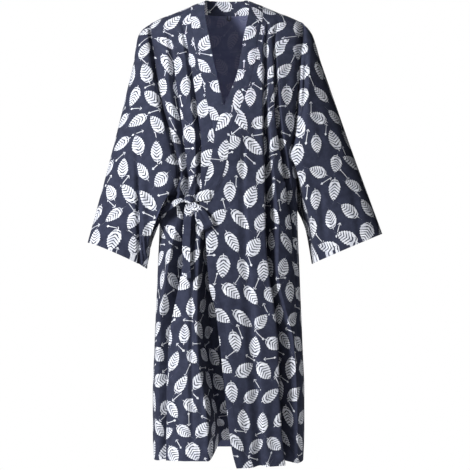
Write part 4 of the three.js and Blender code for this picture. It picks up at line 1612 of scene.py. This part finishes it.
@dataclass(frozen=True)
class Knot:
    """The knot: cloth gathered round itself, with wrapping pleats and a pinch."""

    node: str = "tie_knot"
    middle: tuple[float, float, float] = (-90, -117, -487)
    half: tuple[float, float, float] = (13, 9, 12)
    rows: int = 40
    columns: int = 64
    pole: float = 0.12
    full: float = 0.95
    wraps: tuple[float, float, float] = (0.055, 7, 1.6)
    lobes: tuple[float, float, float] = (0.04, 3, 4)
    pinch: tuple[float, float, float] = (0.16, 2.2, 0.5)
    round_cloth: float = 72
    along_cloth: float = 14
    thickness: float = 1.2
    cloth_shift: tuple[float, float] = (8994, 2190)
    cut: Cut = Cut(0.05, 0.028, Held.GATHERED)

    def swell(self, lat: Numbers, lon: Numbers) -> Numbers:
        """How far the cloth stands out, as a share of the knot's half sizes.

        Args:
            lat: Angles along the knot.
            lon: Angles round it.

        Returns:
            The shares.
        """
        (wrap, turns, twist), (lobe, across, along) = self.wraps, self.lobes
        depth, sharp, place_at = self.pinch
        pleats = wrap * np.cos(turns * lat + twist * np.sin(lon))
        pleats = pleats + lobe * np.cos(across * lon + along * lat)
        dent = depth * np.exp(-((np.sin(lon - place_at) * sharp) ** 2)) * np.cos(lat)
        return (self.full + pleats * np.cos(lat)) * (1 - dent)

    def cloth(self) -> Cloth:
        """The knot's cloth, closed round it.

        Returns:
            The piece.
        """
        top = math.pi / 2 - self.pole
        lat = np.linspace(-top, top, self.rows + 1)[:, None]
        lon = np.linspace(0, 2 * math.pi, self.columns, endpoint=False)[None]
        size = self.swell(lat, lon)
        a, b, c = self.half
        x = self.middle[0] + a * size * np.sin(lat)
        y = self.middle[1] + b * size * np.cos(lat) * np.sin(lon)
        z = self.middle[2] - c * size * np.cos(lat) * np.cos(lon)
        grid = np.stack(np.broadcast_arrays(x, y, z), axis=-1)
        u = np.linspace(0, self.round_cloth, self.columns + 1)[None]
        v = lat * self.along_cloth
        flat = np.stack(np.broadcast_arrays(u, v), axis=-1) + np.array(self.cloth_shift)
        edges = np.full_like(flat, FAR)
        return Cloth("tie_knot_cloth", grid, flat, edges, True, self.thickness, True)


@dataclass
class Tie:
    """The tie at the right hip: its two sewn ends, the knot, one loop and one hanging end."""

    knot: Knot = Knot()
    side_end: Rows = table(
        "angle z half out",
        (-84, -524, 11, 3.4),
        (-74, -519, 10.5, 3.4),
        (-62, -511, 9.5, 3.4),
        (-51, -502, 8.5, 5),
        (-42, -494, 7.5, 11),
        (-37, -490, 6, 17.5),
        (-31.9, -487.6, 4.6, 20.5),
    )
    edge_end: Rows = table(
        "x z half out",
        (-74.2, -485.4, 6, 4.9),
        (-64, -481, 11, 3.4),
        (-52, -477, 12, 3.4),
        (-40, -474, 12, 3.4),
    )
    loop: Rows = table(
        "step x y z half",
        (0, -82.2, -121.8, -495.3, 6),
        (1, -69, -131, -512, 12),
        (2, -59, -133, -530, 16),
        (3, -50, -132, -548, 17),
        (4, -46.5, -128.5, -556, 17),
        (5, -47.5, -124.5, -556, 17),
        (6, -53, -123, -546, 17),
        (7, -61, -122, -530, 15),
        (8, -70, -121, -513, 10),
        (9, -80.3, -118.8, -496.6, 4.5),
    )
    tail: Rows = table(
        "step x y z half",
        (0, -93, -118.8, -498.8, 4.5),
        (1, -93, -118, -512, 8.5),
        (2, -95, -116, -545, 9.5),
        (3, -97, -114, -590, 9.5),
        (4, -97, -114, -635, 9.5),
        (5, -95, -115, -676, 9.5),
    )

    def side_ribbon(self) -> Ribbon:
        """The end that comes from the side seam.

        Returns:
            The ribbon.
        """
        rows = np.array(self.side_end.rows)
        middles = FORM.ring(np.radians(rows[:, 0]), rows[:, 1], Side.FRONT, -rows[:, 3])
        across = [(0.0, 0.0, half) for half in rows[:, 2]]
        return Ribbon(
            name="tie_side_cloth",
            node="tie_side",
            middles=tuple(map(tuple, middles)),
            across=tuple(across),
            cut=Cut(0.022, 0.127, Held.GATHERED),
            pleat_start=1.2,
            pleat_end=2.4,
            cloth_shift=(8229, 2073),
        )

    def edge_ribbon(self, left: LeftFront) -> Ribbon:
        """The end that comes from the wrap's edge.

        Args:
            left: The front that it lies on.

        Returns:
            The ribbon.
        """
        rows = np.array(self.edge_end.rows)
        angle = FORM.angle_at(rows[:, 0], rows[:, 1])
        out = left.overlap_out(angle, rows[:, 0], rows[:, 1]) + rows[:, 3]
        middles = FORM.ring(angle, rows[:, 1], Side.FRONT, -out)
        across = [(0.0, 0.0, half) for half in rows[:, 2]]
        return Ribbon(
            name="tie_edge_cloth",
            node="tie_edge",
            middles=tuple(map(tuple, middles)),
            across=tuple(across),
            cut=Cut(0.024, 0.038, Held.GATHERED),
            pleat_start=1.2,
            rows=30,
        )

    def hanging(self, rows: Rows, name: str, node: str, way: Numbers, cut: Cut) -> Ribbon:
        """The loop or the hanging end from its table.

        Args:
            rows: Its line and half widths.
            name: The piece's name.
            node: The CAD node that it stands for.
            way: The direction across it.
            cut: Its flat cut.

        Returns:
            The ribbon.
        """
        values = np.array(rows.rows)
        return Ribbon(
            name=name,
            node=node,
            middles=tuple(map(tuple, values[:, 1:4])),
            across=tuple(tuple(way * half) for half in values[:, 4]),
            cut=cut,
            pleat_start=1.8,
            pleat_end=1.8 if node == "tie_loop" else 0,
            rows=90,
            cloth_shift=(8251, 2124),
        )

    def build(self, left: LeftFront) -> list[tuple[Cloth, str, Cut]]:
        """All the tie's pieces, each with its node and its flat cut.

        Args:
            left: The front that it lies on.

        Returns:
            Pieces, nodes and cuts.
        """
        loop_way = np.array([0.88, 0, 0.47])
        tail_way = np.array([-1, 0.25, 0])
        ribbons = [
            self.side_ribbon(),
            self.edge_ribbon(left),
            self.hanging(
                self.loop, "tie_loop_cloth", "tie_loop", loop_way, Cut(0.034, 0.147, Held.FOLDED)
            ),
            self.hanging(self.tail, "tie_end_cloth", "tie_tail", tail_way, Cut(0.02, 0.178)),
        ]
        made = [(item.cloth(), item.node, item.cut) for item in ribbons]
        made.append((self.knot.cloth(), self.knot.node, self.knot.cut))
        return made

    def dress(self, made: list[tuple[Cloth, str, Cut]], print_cloth: "Finish") -> None:
        """Puts the tie in the scene."""
        for cloth, node, cut in made:
            place(cloth, (node,), [print_cloth.material()], cut, "printed_cotton")


@dataclass
class HangingLoop:
    """The small dark tape loop inside the back neck."""

    middle: tuple[float, float, float] = (5, 52, -24)
    radius: float = 4
    half: float = 1.4
    rise: float = 8
    thickness: float = 0.9
    turn_points: int = 19
    columns: int = 5

    def build(self) -> Cloth:
        """The tape as a narrow ribbon, down, round and up again.

        Returns:
            The piece.
        """
        turn = np.linspace(0, math.pi, self.turn_points)
        x = np.concatenate([[-self.radius], -self.radius * np.cos(turn), [self.radius]])
        drop = np.concatenate([[-self.rise], self.radius * np.sin(turn), [-self.rise]])
        turns = np.concatenate([[0], turn, [math.pi]])
        middle = np.array(self.middle) + np.stack([x, 0 * x, -drop], axis=-1)
        across = np.stack([-np.cos(turns), 0 * turns, -np.sin(turns)], axis=-1) * self.half
        t = np.linspace(1, -1, self.columns)
        grid = middle[:, None] + across[:, None] * t[:, None]
        step = np.linalg.norm(np.diff(middle, axis=0), axis=1)
        along = np.concatenate([[0], np.cumsum(step)])[:, None]
        flat = np.stack(np.broadcast_arrays(self.half * (1 - t), along), axis=-1)
        edges = np.full_like(flat, FAR)
        return Cloth("hanging_loop_tape", grid, flat, edges, False, self.thickness, True)

    def dress(self, cloth: Cloth, tape: "Finish") -> None:
        """Puts the tape in the scene."""
        cut = Cut(0.01, 0.029, Held.FOLDED, area=0.01 * 0.029 * 0.3)
        place(cloth, ("hanging_loop",), [tape.material()], cut, "dark_tape")


class Dye:
    """Makes the nodes of one material, or of the world."""

    def __init__(self, made: bpy.types.Material | bpy.types.World) -> None:
        """Starts with no nodes.

        Args:
            made: The new material or world.
        """
        self.made = made
        self.made.use_nodes = True
        self.tree = self.made.node_tree
        self.tree.nodes.clear()

    def add(
        self,
        kind: str,
        settings: dict[str, Any] | None = None,
        values: dict[Any, Any] | None = None,
    ) -> bpy.types.Node:
        """Makes any node.

        Args:
            kind: The node's type.
            settings: What is set on the node itself, before its sockets.
            values: Numbers, colours or links for its sockets, by name or number.

        Returns:
            The node.
        """
        node = self.tree.nodes.new(kind)
        for name, value in (settings or {}).items():
            setattr(node, name, value)
        for key, value in (values or {}).items():
            if isinstance(value, Strand):
                value = value.socket
            if isinstance(value, bpy.types.NodeSocket):
                self.tree.links.new(value, node.inputs[key])
            else:
                node.inputs[key].default_value = value
        return node

    def strand(self, node: bpy.types.Node, output: str | int = 0) -> "Strand":
        """A node's output as an expression."""
        return Strand(self, node.outputs[output])

    def blend(self, share: "Strand", first: Any, second: Any) -> "Strand":
        """A colour a share of the way from the first colour to the second."""
        values = {0: share, 6: first, 7: second}
        return self.strand(self.add("ShaderNodeMix", {"data_type": "RGBA"}, values), 2)

    def noise(
        self, places: "Strand", scale: float, detail: float = 2, rough: float = 0.5
    ) -> "Strand":
        """Soft noise from 0 to 1 over the places."""
        values = {"Vector": places, "Scale": scale, "Detail": detail, "Roughness": rough}
        return self.strand(self.add("ShaderNodeTexNoise", None, values), 0)

    def places(self, name: MapName) -> "Strand":
        """A UV map's places, which are metres on the flat cloth."""
        return self.strand(self.add("ShaderNodeUVMap", {"uv_map": name.value}))

    def parts(self, vector: "Strand") -> tuple["Strand", "Strand"]:
        """The first two numbers of a vector, in millimetres."""
        node = self.add("ShaderNodeSeparateXYZ", None, {0: vector})
        return self.strand(node, 0) * 1000, self.strand(node, 1) * 1000

    def finish(self, shader: bpy.types.Node) -> bpy.types.Material:
        """Joins the shader to the material's output."""
        self.add("ShaderNodeOutputMaterial", None, {"Surface": shader.outputs[0]})
        return self.made


class Strand:
    """A number on a node's socket, which takes part in ordinary sums."""

    def __init__(self, dye: Dye, socket: bpy.types.NodeSocket) -> None:
        """Wraps a socket.

        Args:
            dye: The material that it is in.
            socket: The socket.
        """
        self.dye = dye
        self.socket = socket

    def sum(self, operation: str, *others: Any) -> "Strand":
        """A Math node on this number and others.

        Args:
            operation: The Math node's operation.
            others: What comes after this number.

        Returns:
            The result.
        """
        values = dict(enumerate((self, *others)))
        node = self.dye.add("ShaderNodeMath", {"operation": operation}, values)
        return self.dye.strand(node)

    def of(self, other: Any, operation: str) -> "Strand":
        """A Math node with the other number first."""
        node = self.dye.add("ShaderNodeMath", {"operation": operation}, {0: other, 1: self})
        return self.dye.strand(node)

    def __add__(self, other: Any) -> "Strand":
        """self + other"""
        return self.sum("ADD", other)

    def __radd__(self, other: Any) -> "Strand":
        """other + self"""
        return self.of(other, "ADD")

    def __sub__(self, other: Any) -> "Strand":
        """self - other"""
        return self.sum("SUBTRACT", other)

    def __rsub__(self, other: Any) -> "Strand":
        """other - self"""
        return self.of(other, "SUBTRACT")

    def __mul__(self, other: Any) -> "Strand":
        """self * other"""
        return self.sum("MULTIPLY", other)

    def __rmul__(self, other: Any) -> "Strand":
        """other * self"""
        return self.of(other, "MULTIPLY")

    def __truediv__(self, other: Any) -> "Strand":
        """self / other"""
        return self.sum("DIVIDE", other)

    def __rtruediv__(self, other: Any) -> "Strand":
        """other / self"""
        return self.of(other, "DIVIDE")

    def __pow__(self, other: Any) -> "Strand":
        """self ** other"""
        return self.sum("POWER", other)

    def __abs__(self) -> "Strand":
        """abs(self)"""
        return self.sum("ABSOLUTE")

    def floor(self) -> "Strand":
        """The whole number below."""
        return self.sum("FLOOR")

    def part(self) -> "Strand":
        """What is left above the whole number."""
        return self.sum("FRACT")

    def most(self, other: Any) -> "Strand":
        """The larger of two numbers."""
        return self.sum("MAXIMUM", other)

    def least(self, other: Any) -> "Strand":
        """The smaller of two numbers."""
        return self.sum("MINIMUM", other)

    def above(self, other: Any) -> "Strand":
        """1 where this number is the larger, otherwise 0."""
        return self.sum("GREATER_THAN", other)

    def rise(self, low: float, high: float) -> "Strand":
        """0 below low, 1 above high, and a smooth rise between them."""
        node = self.dye.add(
            "ShaderNodeMapRange",
            {"interpolation_type": "SMOOTHSTEP", "clamp": True},
            {0: self, 1: low, 2: high, 3: 0.0, 4: 1.0},
        )
        return self.dye.strand(node)


class Finish:
    """What every finish has: a name and a material that is made once."""

    name: str

    def material(self) -> bpy.types.Material:
        """The finish's material, made when it is first asked for."""
        return bpy.data.materials.get(self.name) or self.make()

    def make(self) -> bpy.types.Material:
        """Makes the material."""
        raise NotImplementedError


@dataclass(frozen=True)
class LeafMotif:
    """A leaf with ribs that rise in points and close in loops at its base, in millimetres."""

    half_length: float = 26.0
    half_width: float = 15.2
    stem: float = 5.0
    stem_half: float = 0.85
    rib_step: float = 7.5
    rib_half: float = 1.45
    slant: float = 0.7
    loop_at: float = -11.0
    scallop: float = 1.15
    rough_rib: float = 0.9
    rough_edge: float = 1.1
    rough_line: float = 0.45
    tip_power: float = 0.8
    base_power: float = 0.5
    rib_taper: float = 0.75
    stem_reach: float = 0.8

    def ribs(self, a: Strand, wide: Strand, rough: Strand) -> Strand:
        """The number of ribs passed at a place, counted from the base's loops.

        Args:
            a: Places along the leaf.
            wide: Distances from its middle line.
            rough: Noise from -1 to 1.

        Returns:
            Numbers that rise by 1 from rib to rib.
        """
        above = (a - self.loop_at).most(0.0)
        below = (a - self.loop_at).least(0.0)
        leaning = wide * self.slant
        loops = (below * below + leaning * leaning).sum("SQRT")
        return (above - loops + rough * self.rough_rib) / self.rib_step

    def draw(self, a: Strand, b: Strand, rough: Strand) -> tuple[Strand, Strand]:
        """The leaf's own shape.

        Args:
            a: Places along the leaf, its tip at the high end.
            b: Places across it.
            rough: Noise from -1 to 1 for its edge.

        Returns:
            The printed share, and the share of leaf and a little margin round it.
        """
        t = a / self.half_length
        wide = abs(b)
        rib = self.ribs(a, wide, rough)
        swell = (1 - t).most(0.0) ** self.tip_power * (1 + t).most(0.0) ** self.base_power
        lobes = (rib * (2 * math.pi)).sum("COSINE") * self.scallop + rough * self.rough_edge
        width = swell * self.half_width + lobes * (swell * 3).least(1.0)
        inside = width - wide
        blade = inside.rise(-0.3, 0.45)
        margin = inside.rise(-3.4, -2.4)
        stem = (self.stem_half - wide).rise(-0.25, 0.3)
        stem = stem * (a + self.half_length + self.stem).rise(-0.3, 0.3)
        stem = stem * (-self.half_length * self.stem_reach - a).rise(-0.5, 0.5)
        line = abs(rib.part() - 0.5) * self.rib_step
        thin = 1 - (wide / self.half_width) ** 2 * self.rib_taper
        dark = (thin * self.rib_half + rough * self.rough_line - line).rise(-0.35, 0.35)
        dark = dark * inside.rise(0.5, 1.7)
        return (blade * (1 - dark)).most(stem), margin


@dataclass(frozen=True)
class SprigMotif:
    """A thin stalk with a bud at one end and two short leaflets at the other."""

    half_length: float = 15.5
    stalk: float = 0.82
    bud: float = 3.3
    leaflet: float = 5.2
    bud_slope: float = 0.75
    leaflet_slope: float = 0.85

    def draw(self, a: Strand, b: Strand) -> Strand:
        """The printed share of the sprig.

        Args:
            a: Places along the sprig, its bud at the high end.
            b: Places across it.

        Returns:
            1 on the print and 0 beside it.
        """
        wide = abs(b)
        stalk = (self.stalk - wide).rise(-0.25, 0.3)
        stalk = stalk * (self.half_length - abs(a)).rise(-0.4, 0.4)
        bud = (self.bud - abs(a - self.half_length) * self.bud_slope - wide).rise(-0.3, 0.4)
        foot = a + self.half_length
        barb = (1.0 - abs(wide - foot * self.leaflet_slope)).rise(-0.3, 0.4)
        barb = barb * foot.rise(-0.4, 0.4) * (self.leaflet - foot).rise(-0.4, 0.4)
        return stalk.most(bud).most(barb)


@dataclass(frozen=True)
class LeafPrint:
    """Staggered rows of leaves and sprigs that rise and sway, each one turned its own way."""

    across: float = 52.0
    along: float = 60.0
    shift: float = 3.0
    leaf_swing: float = 2.2
    sprig_share: float = 0.66
    least_size: float = 0.84
    size_range: float = 0.2
    leaf_seed: float = 17.0
    sprig_seed: float = 71.0
    rise: tuple[float, float] = (31, 7)
    sway: tuple[float, float] = (37, 5)
    edge_grain: float = 420
    leaf: LeafMotif = LeafMotif()
    sprig: SprigMotif = SprigMotif()

    def cell(
        self, dye: Dye, u: Strand, v: Strand, seed: float, swing: float
    ) -> tuple[Strand, Strand, Strand]:
        """The place in a motif's own cell, turned and scaled by chance.

        Args:
            dye: The material.
            u: Places across the cloth, in cells.
            v: Places along the cloth, in cells.
            seed: What sets this layout of cells apart.
            swing: The widest turn between two motifs that point the same way.

        Returns:
            Places along and across the motif, and a number from 0 to 1 for the cell.
        """
        row = v.floor()
        odd = (row / 2).part()
        shifted = u + odd
        column = shifted.floor()
        where = dye.add("ShaderNodeCombineXYZ", None, {0: column + seed, 1: row - seed, 2: 0.0})
        noise = dye.add(
            "ShaderNodeTexWhiteNoise", {"noise_dimensions": "2D"}, {"Vector": where.outputs[0]}
        )
        split = dye.add("ShaderNodeSeparateColor", None, {0: noise.outputs["Color"]})
        turn_by, move_by, size_by = (dye.strand(split, k) for k in range(3))
        x = (shifted.part() - 0.5) * self.across - (size_by - 0.5) * self.shift
        y = (v.part() - 0.5) * self.along - (move_by - 0.5) * self.shift
        over = dye.strand(noise, "Value").above(0.5) * math.pi
        turn = (turn_by - 0.5) * swing + math.pi / 2 + over
        cos, sin = turn.sum("COSINE"), turn.sum("SINE")
        size = size_by * self.size_range + self.least_size
        return (x * cos + y * sin) / size, (y * cos - x * sin) / size, move_by

    def printed(self, dye: Dye, places: Strand) -> Strand:
        """The share of pale print over the cloth.

        Args:
            dye: The material.
            places: The flat cloth's places.

        Returns:
            1 on the print and 0 on the ground.
        """
        u, v = dye.parts(places)
        rough = dye.noise(places, self.edge_grain, 2) * 2 - 1
        rise = (u / self.rise[0]).sum("SINE") * self.rise[1]
        sway = (v / self.sway[0]).sum("SINE") * self.sway[1]
        cell_u, cell_v = (u + sway) / self.across, (v + rise) / self.along
        a, b, _ = self.cell(dye, cell_u, cell_v, self.leaf_seed, self.leaf_swing)
        leaf, margin = self.leaf.draw(a, b, rough)
        between = (cell_u + 0.25, cell_v + 0.5)
        a, b, chance = self.cell(dye, *between, self.sprig_seed, math.pi)
        sprig = self.sprig.draw(a, b) * (self.sprig_share - chance).above(0.0)
        return leaf.most(sprig * (1 - margin))


@dataclass(frozen=True)
class Weave:
    """Plain woven cotton: fine threads, slubs, seams and stitched hems."""

    thread: float = 0.62
    hem_stitch: float = 17.0
    seam_half: float = 1.6
    stitch_step: float = 3.2
    stitch_share: float = 0.35
    thread_high: float = 0.035
    slub_high: float = 0.05
    soft_high: float = 1.1
    seam_deep: float = 0.9
    seam_ridge: tuple[float, float, float] = (4.5, 2.2, 0.16)
    stitch_deep: float = 0.28
    pucker_at: tuple[float, float, float] = (8, 9, 0.12)
    double_high: float = 0.22

    def height(self, dye: Dye, places: Strand) -> Strand:
        """The cloth's fine relief, in millimetres.

        Args:
            dye: The material.
            places: The flat cloth's places.

        Returns:
            Heights for a Bump node.
        """
        u, v = dye.parts(places)
        turn = 2 * math.pi / self.thread
        threads = (u * turn).sum("SINE") * (v * turn).sum("SINE") * self.thread_high
        slub = dye.noise(places, 900, 3, 0.6) * self.slub_high
        soft = dye.noise(places, 34, 3, 0.45) * self.soft_high
        seam, hem = dye.parts(dye.places(MapName.EDGES))
        seam_dip = (self.seam_half - seam).rise(-1.6, 1.2) * self.seam_deep
        at, half, high = self.seam_ridge
        ridge = (1 - abs(seam - at) / half).most(0.0) * high
        stitch_line = (0.9 - abs(hem - self.hem_stitch)).rise(0.0, 0.9) * self.stitch_deep
        at, half, high = self.pucker_at
        pucker = (v / half + u / half).sum("SINE") * (1 - abs(hem - at) / half).most(0.0) * high
        double = (self.hem_stitch - hem).rise(-0.6, 0.6) * self.double_high
        return threads + slub + soft - seam_dip + ridge - stitch_line + pucker + double

    def stitches(self, dye: Dye, places: Strand) -> Strand:
        """1 on the hem's stitches and 0 elsewhere.

        Args:
            dye: The material.
            places: The flat cloth's places.

        Returns:
            The mask.
        """
        u, v = dye.parts(places)
        _, hem = dye.parts(dye.places(MapName.EDGES))
        dash = ((u + v) / self.stitch_step).part().above(self.stitch_share)
        return (0.42 - abs(hem - self.hem_stitch)).rise(-0.1, 0.15) * dash


@dataclass(frozen=True)
class PrintedCotton(Finish):
    """The right side of the cloth: navy cotton with the pale print."""

    name: str = "printed_cotton_right_side"
    ground: tuple[float, float, float, float] = (0.0245, 0.0278, 0.0485, 1)
    ground_faded: tuple[float, float, float, float] = (0.0355, 0.0405, 0.069, 1)
    pale: tuple[float, float, float, float] = (0.8, 0.82, 0.87, 1)
    pale_thin: tuple[float, float, float, float] = (0.45, 0.47, 0.54, 1)
    thread: tuple[float, float, float, float] = (0.02, 0.022, 0.04, 1)
    layout: LeafPrint = LeafPrint()
    weave: Weave = Weave()
    show: float = 1.0
    bump: float = 0.6
    roughness: float = 0.84
    sheen: float = 0.02
    gloss: float = 0.08
    print_high: float = 0.05
    thread_show: float = 0.8
    flecks: float = 0.6

    def make(self) -> bpy.types.Material:
        """Print and weave over a matt cotton shader.

        Returns:
            The material.
        """
        dye = Dye(bpy.data.materials.new(self.name))
        places = dye.places(MapName.CLOTH)
        mask = self.layout.printed(dye, places)
        wear = dye.noise(places, 55, 4, 0.6)
        grain = dye.noise(places, 1400, 2, 0.6)
        ground = dye.blend(wear.rise(0.3, 0.75), self.ground, self.ground_faded)
        pale = dye.blend((wear * 0.6 + grain * 0.4).rise(0.35, 0.7), self.pale, self.pale_thin)
        fleck = dye.noise(places, 620, 3, 0.7).rise(0.56, 0.68) * self.flecks
        colour = dye.blend(mask * (1 - fleck) * self.show, ground, pale)
        colour = dye.blend(self.weave.stitches(dye, places) * self.thread_show, colour, self.thread)
        rough = self.roughness + grain * 0.1 + mask * 0.03
        relief = self.weave.height(dye, places) + mask * (self.print_high * self.show)
        bump = dye.add(
            "ShaderNodeBump", None, {"Strength": self.bump, "Distance": MM, "Height": relief}
        )
        shader = dye.add(
            "ShaderNodeBsdfPrincipled",
            None,
            {
                "Base Color": colour,
                "Roughness": rough,
                "Specular IOR Level": self.gloss,
                "Sheen Weight": self.sheen,
                "Sheen Roughness": 0.5,
                "Normal": bump.outputs[0],
            },
        )
        return dye.finish(shader)


@dataclass(frozen=True)
class WrongSideWithPaintedLight(PrintedCotton):
    """The inside of the cloth: a paler ground, partly its own colour and partly painted light that
    lifts the shaded inside, with the print showing through weakly.
    """

    name: str = "printed_cotton_wrong_side"
    # Painted light: this ground is about three times the right side's, partly the wrong side's own
    # paler navy and partly painted light for the shaded inside of the robe.
    ground: tuple[float, float, float, float] = (0.07, 0.077, 0.14, 1)
    ground_faded: tuple[float, float, float, float] = (0.088, 0.096, 0.165, 1)
    pale: tuple[float, float, float, float] = (0.5, 0.52, 0.62, 1)
    pale_thin: tuple[float, float, float, float] = (0.3, 0.31, 0.4, 1)
    show: float = 0.1


@dataclass(frozen=True)
class TapeFinish(Finish):
    """Dark woven tape with small ribs across it."""

    name: str = "dark_woven_tape"
    dark: tuple[float, float, float, float] = (0.008, 0.009, 0.016, 1)
    light: tuple[float, float, float, float] = (0.02, 0.022, 0.034, 1)
    rib: float = 0.9

    def make(self) -> bpy.types.Material:
        """Ribs and threads over a soft satin shader.

        Returns:
            The material.
        """
        dye = Dye(bpy.data.materials.new(self.name))
        places = dye.places(MapName.CLOTH)
        _, v = dye.parts(places)
        ribs = (v * (2 * math.pi / self.rib)).sum("SINE") * 0.5 + 0.5
        grain = dye.noise(places, 1600, 2)
        colour = dye.blend(ribs * 0.7 + grain * 0.3, self.dark, self.light)
        relief = ribs * 0.1 + grain * 0.05
        bump = dye.add("ShaderNodeBump", None, {"Strength": 0.7, "Distance": MM, "Height": relief})
        shader = dye.add(
            "ShaderNodeBsdfPrincipled",
            None,
            {"Base Color": colour, "Roughness": 0.5 + grain * 0.2, "Normal": bump.outputs[0]},
        )
        return dye.finish(shader)


@dataclass(frozen=True)
class Lamp:
    """A square soft light: its side in metres, its power in watts, its aim and its beam."""

    name: str
    at: tuple[float, float, float]
    side: float
    power: float
    aim: tuple[float, float, float] = (0.0, 0.0, -0.5)
    spread: float = 180

    def build(self) -> None:
        """Puts the light in the scene, unseen by the camera."""
        data = bpy.data.lights.new(self.name, "AREA")
        data.size = self.side
        data.energy = self.power
        data.spread = math.radians(self.spread)
        lamp = bpy.data.objects.new(self.name, data)
        lamp.location = self.at
        way = np.array(self.aim) - np.array(self.at)
        lamp.rotation_euler = (
            math.atan2(math.hypot(way[0], way[1]), -way[2]),
            0,
            math.atan2(way[0], -way[1]) + math.pi,
        )
        lamp.visible_camera = False
        bpy.context.scene.collection.objects.link(lamp)


@dataclass
class Studio:
    """A plain pale floor that fades into white, soft light and the photo's camera."""

    floor: float = -1.26
    floor_wide: float = 2.2
    floor_front: float = -2.6
    floor_back: float = 0.5
    camera_at: tuple[float, float, float] = (0.02, -3.0, -0.5725)
    lens: float = 91.9
    world: float = 0.048
    lamps: tuple[Lamp, ...] = (
        Lamp("key", (-2.2, -2.35, 0.8), 0.8, 175),
        Lamp("fill", (-0.7, -3.4, -0.6), 1.4, 6),
        Lamp("neck", (0.05, -2.4, 0.35), 0.25, 0.12, (0.01, 0.1, -0.15), 12),
        Lamp("back", (0.5, 3.4, 0.9), 1.2, 190),
    )

    def ground(self) -> None:
        """A pale floor under the hem that ends softly."""
        wide, front, back = self.floor_wide, self.floor_front, self.floor_back
        corners = ((-wide, front), (wide, front), (wide, back), (-wide, back))
        points = [(x, y, self.floor) for x, y in corners]
        mesh = bpy.data.meshes.new("floor")
        mesh.from_pydata(points, [], [tuple(range(len(points)))])
        sheet = bpy.data.objects.new("floor", mesh)
        bpy.context.scene.collection.objects.link(sheet)
        dye = Dye(bpy.data.materials.new("pale_floor"))
        spot = dye.add("ShaderNodeTexCoord")
        parts = dye.add("ShaderNodeSeparateXYZ", None, {0: spot.outputs["Object"]})
        x, y = dye.strand(parts, 0), dye.strand(parts, 1)
        there = (self.floor_back - y).rise(0.0, 0.4) * (y - self.floor_front).rise(0.0, 1.2)
        there = there * (self.floor_wide - abs(x)).rise(0.0, 1.2)
        grain = dye.noise(dye.strand(spot, "Object"), 60)
        colour = dye.blend(grain, (0.86, 0.86, 0.865, 1), (0.92, 0.92, 0.92, 1))
        shader = dye.add(
            "ShaderNodeBsdfPrincipled",
            None,
            {
                "Base Color": colour,
                "Roughness": 0.9,
                "Emission Color": (1, 1, 1, 1),
                "Emission Strength": 0.1,
                "Alpha": there,
            },
        )
        sheet.data.materials.append(dye.finish(shader))

    def surroundings(self) -> None:
        """A world that lights the cloth dimly and looks white to the camera."""
        dye = Dye(bpy.data.worlds.new("studio"))
        white = (1, 1, 1, 1)
        dim = dye.add("ShaderNodeBackground", None, {"Color": white, "Strength": self.world})
        bright = dye.add("ShaderNodeBackground", None, {"Color": white, "Strength": 1.0})
        seen = dye.add("ShaderNodeLightPath").outputs["Is Camera Ray"]
        values = {0: seen, 1: dim.outputs[0], 2: bright.outputs[0]}
        either = dye.add("ShaderNodeMixShader", None, values)
        dye.add("ShaderNodeOutputWorld", None, {"Surface": either.outputs[0]})
        bpy.context.scene.world = dye.made

    def build(self) -> None:
        """The floor, the lights, the world and the camera."""
        self.ground()
        for lamp in self.lamps:
            lamp.build()
        self.surroundings()
        data = bpy.data.cameras.new("camera")
        data.lens = self.lens
        data.sensor_width = 36
        camera = bpy.data.objects.new("camera", data)
        camera.location = self.camera_at
        camera.rotation_euler = (math.pi / 2, 0, 0)
        bpy.context.scene.collection.objects.link(camera)
        bpy.context.scene.camera = camera
        bpy.context.scene.view_settings.view_transform = "Standard"
        LOG.info("studio: floor, four lights, world and camera")


def main() -> None:
    """Builds and dresses each sub-assembly in order."""
    logging.basicConfig(level=logging.INFO, format="%(name)s: %(message)s")
    Studio().build()
    right_side = PrintedCotton()
    wrong_side_with_painted_light = WrongSideWithPaintedLight()
    body = RobeBody()
    body.dress(body.build(), right_side, wrong_side_with_painted_light)
    band = Neckband()
    band.dress(band.build(body), right_side)
    for arm in (RIGHT_ARM, LEFT_ARM):
        sleeve = Sleeve(arm)
        sleeve.dress(sleeve.build(body), right_side, wrong_side_with_painted_light)
    tie = Tie()
    tie.dress(tie.build(body.left), right_side)
    loop = HangingLoop()
    loop.dress(loop.build(), TapeFinish())


if __name__ == "__main__":
    main()
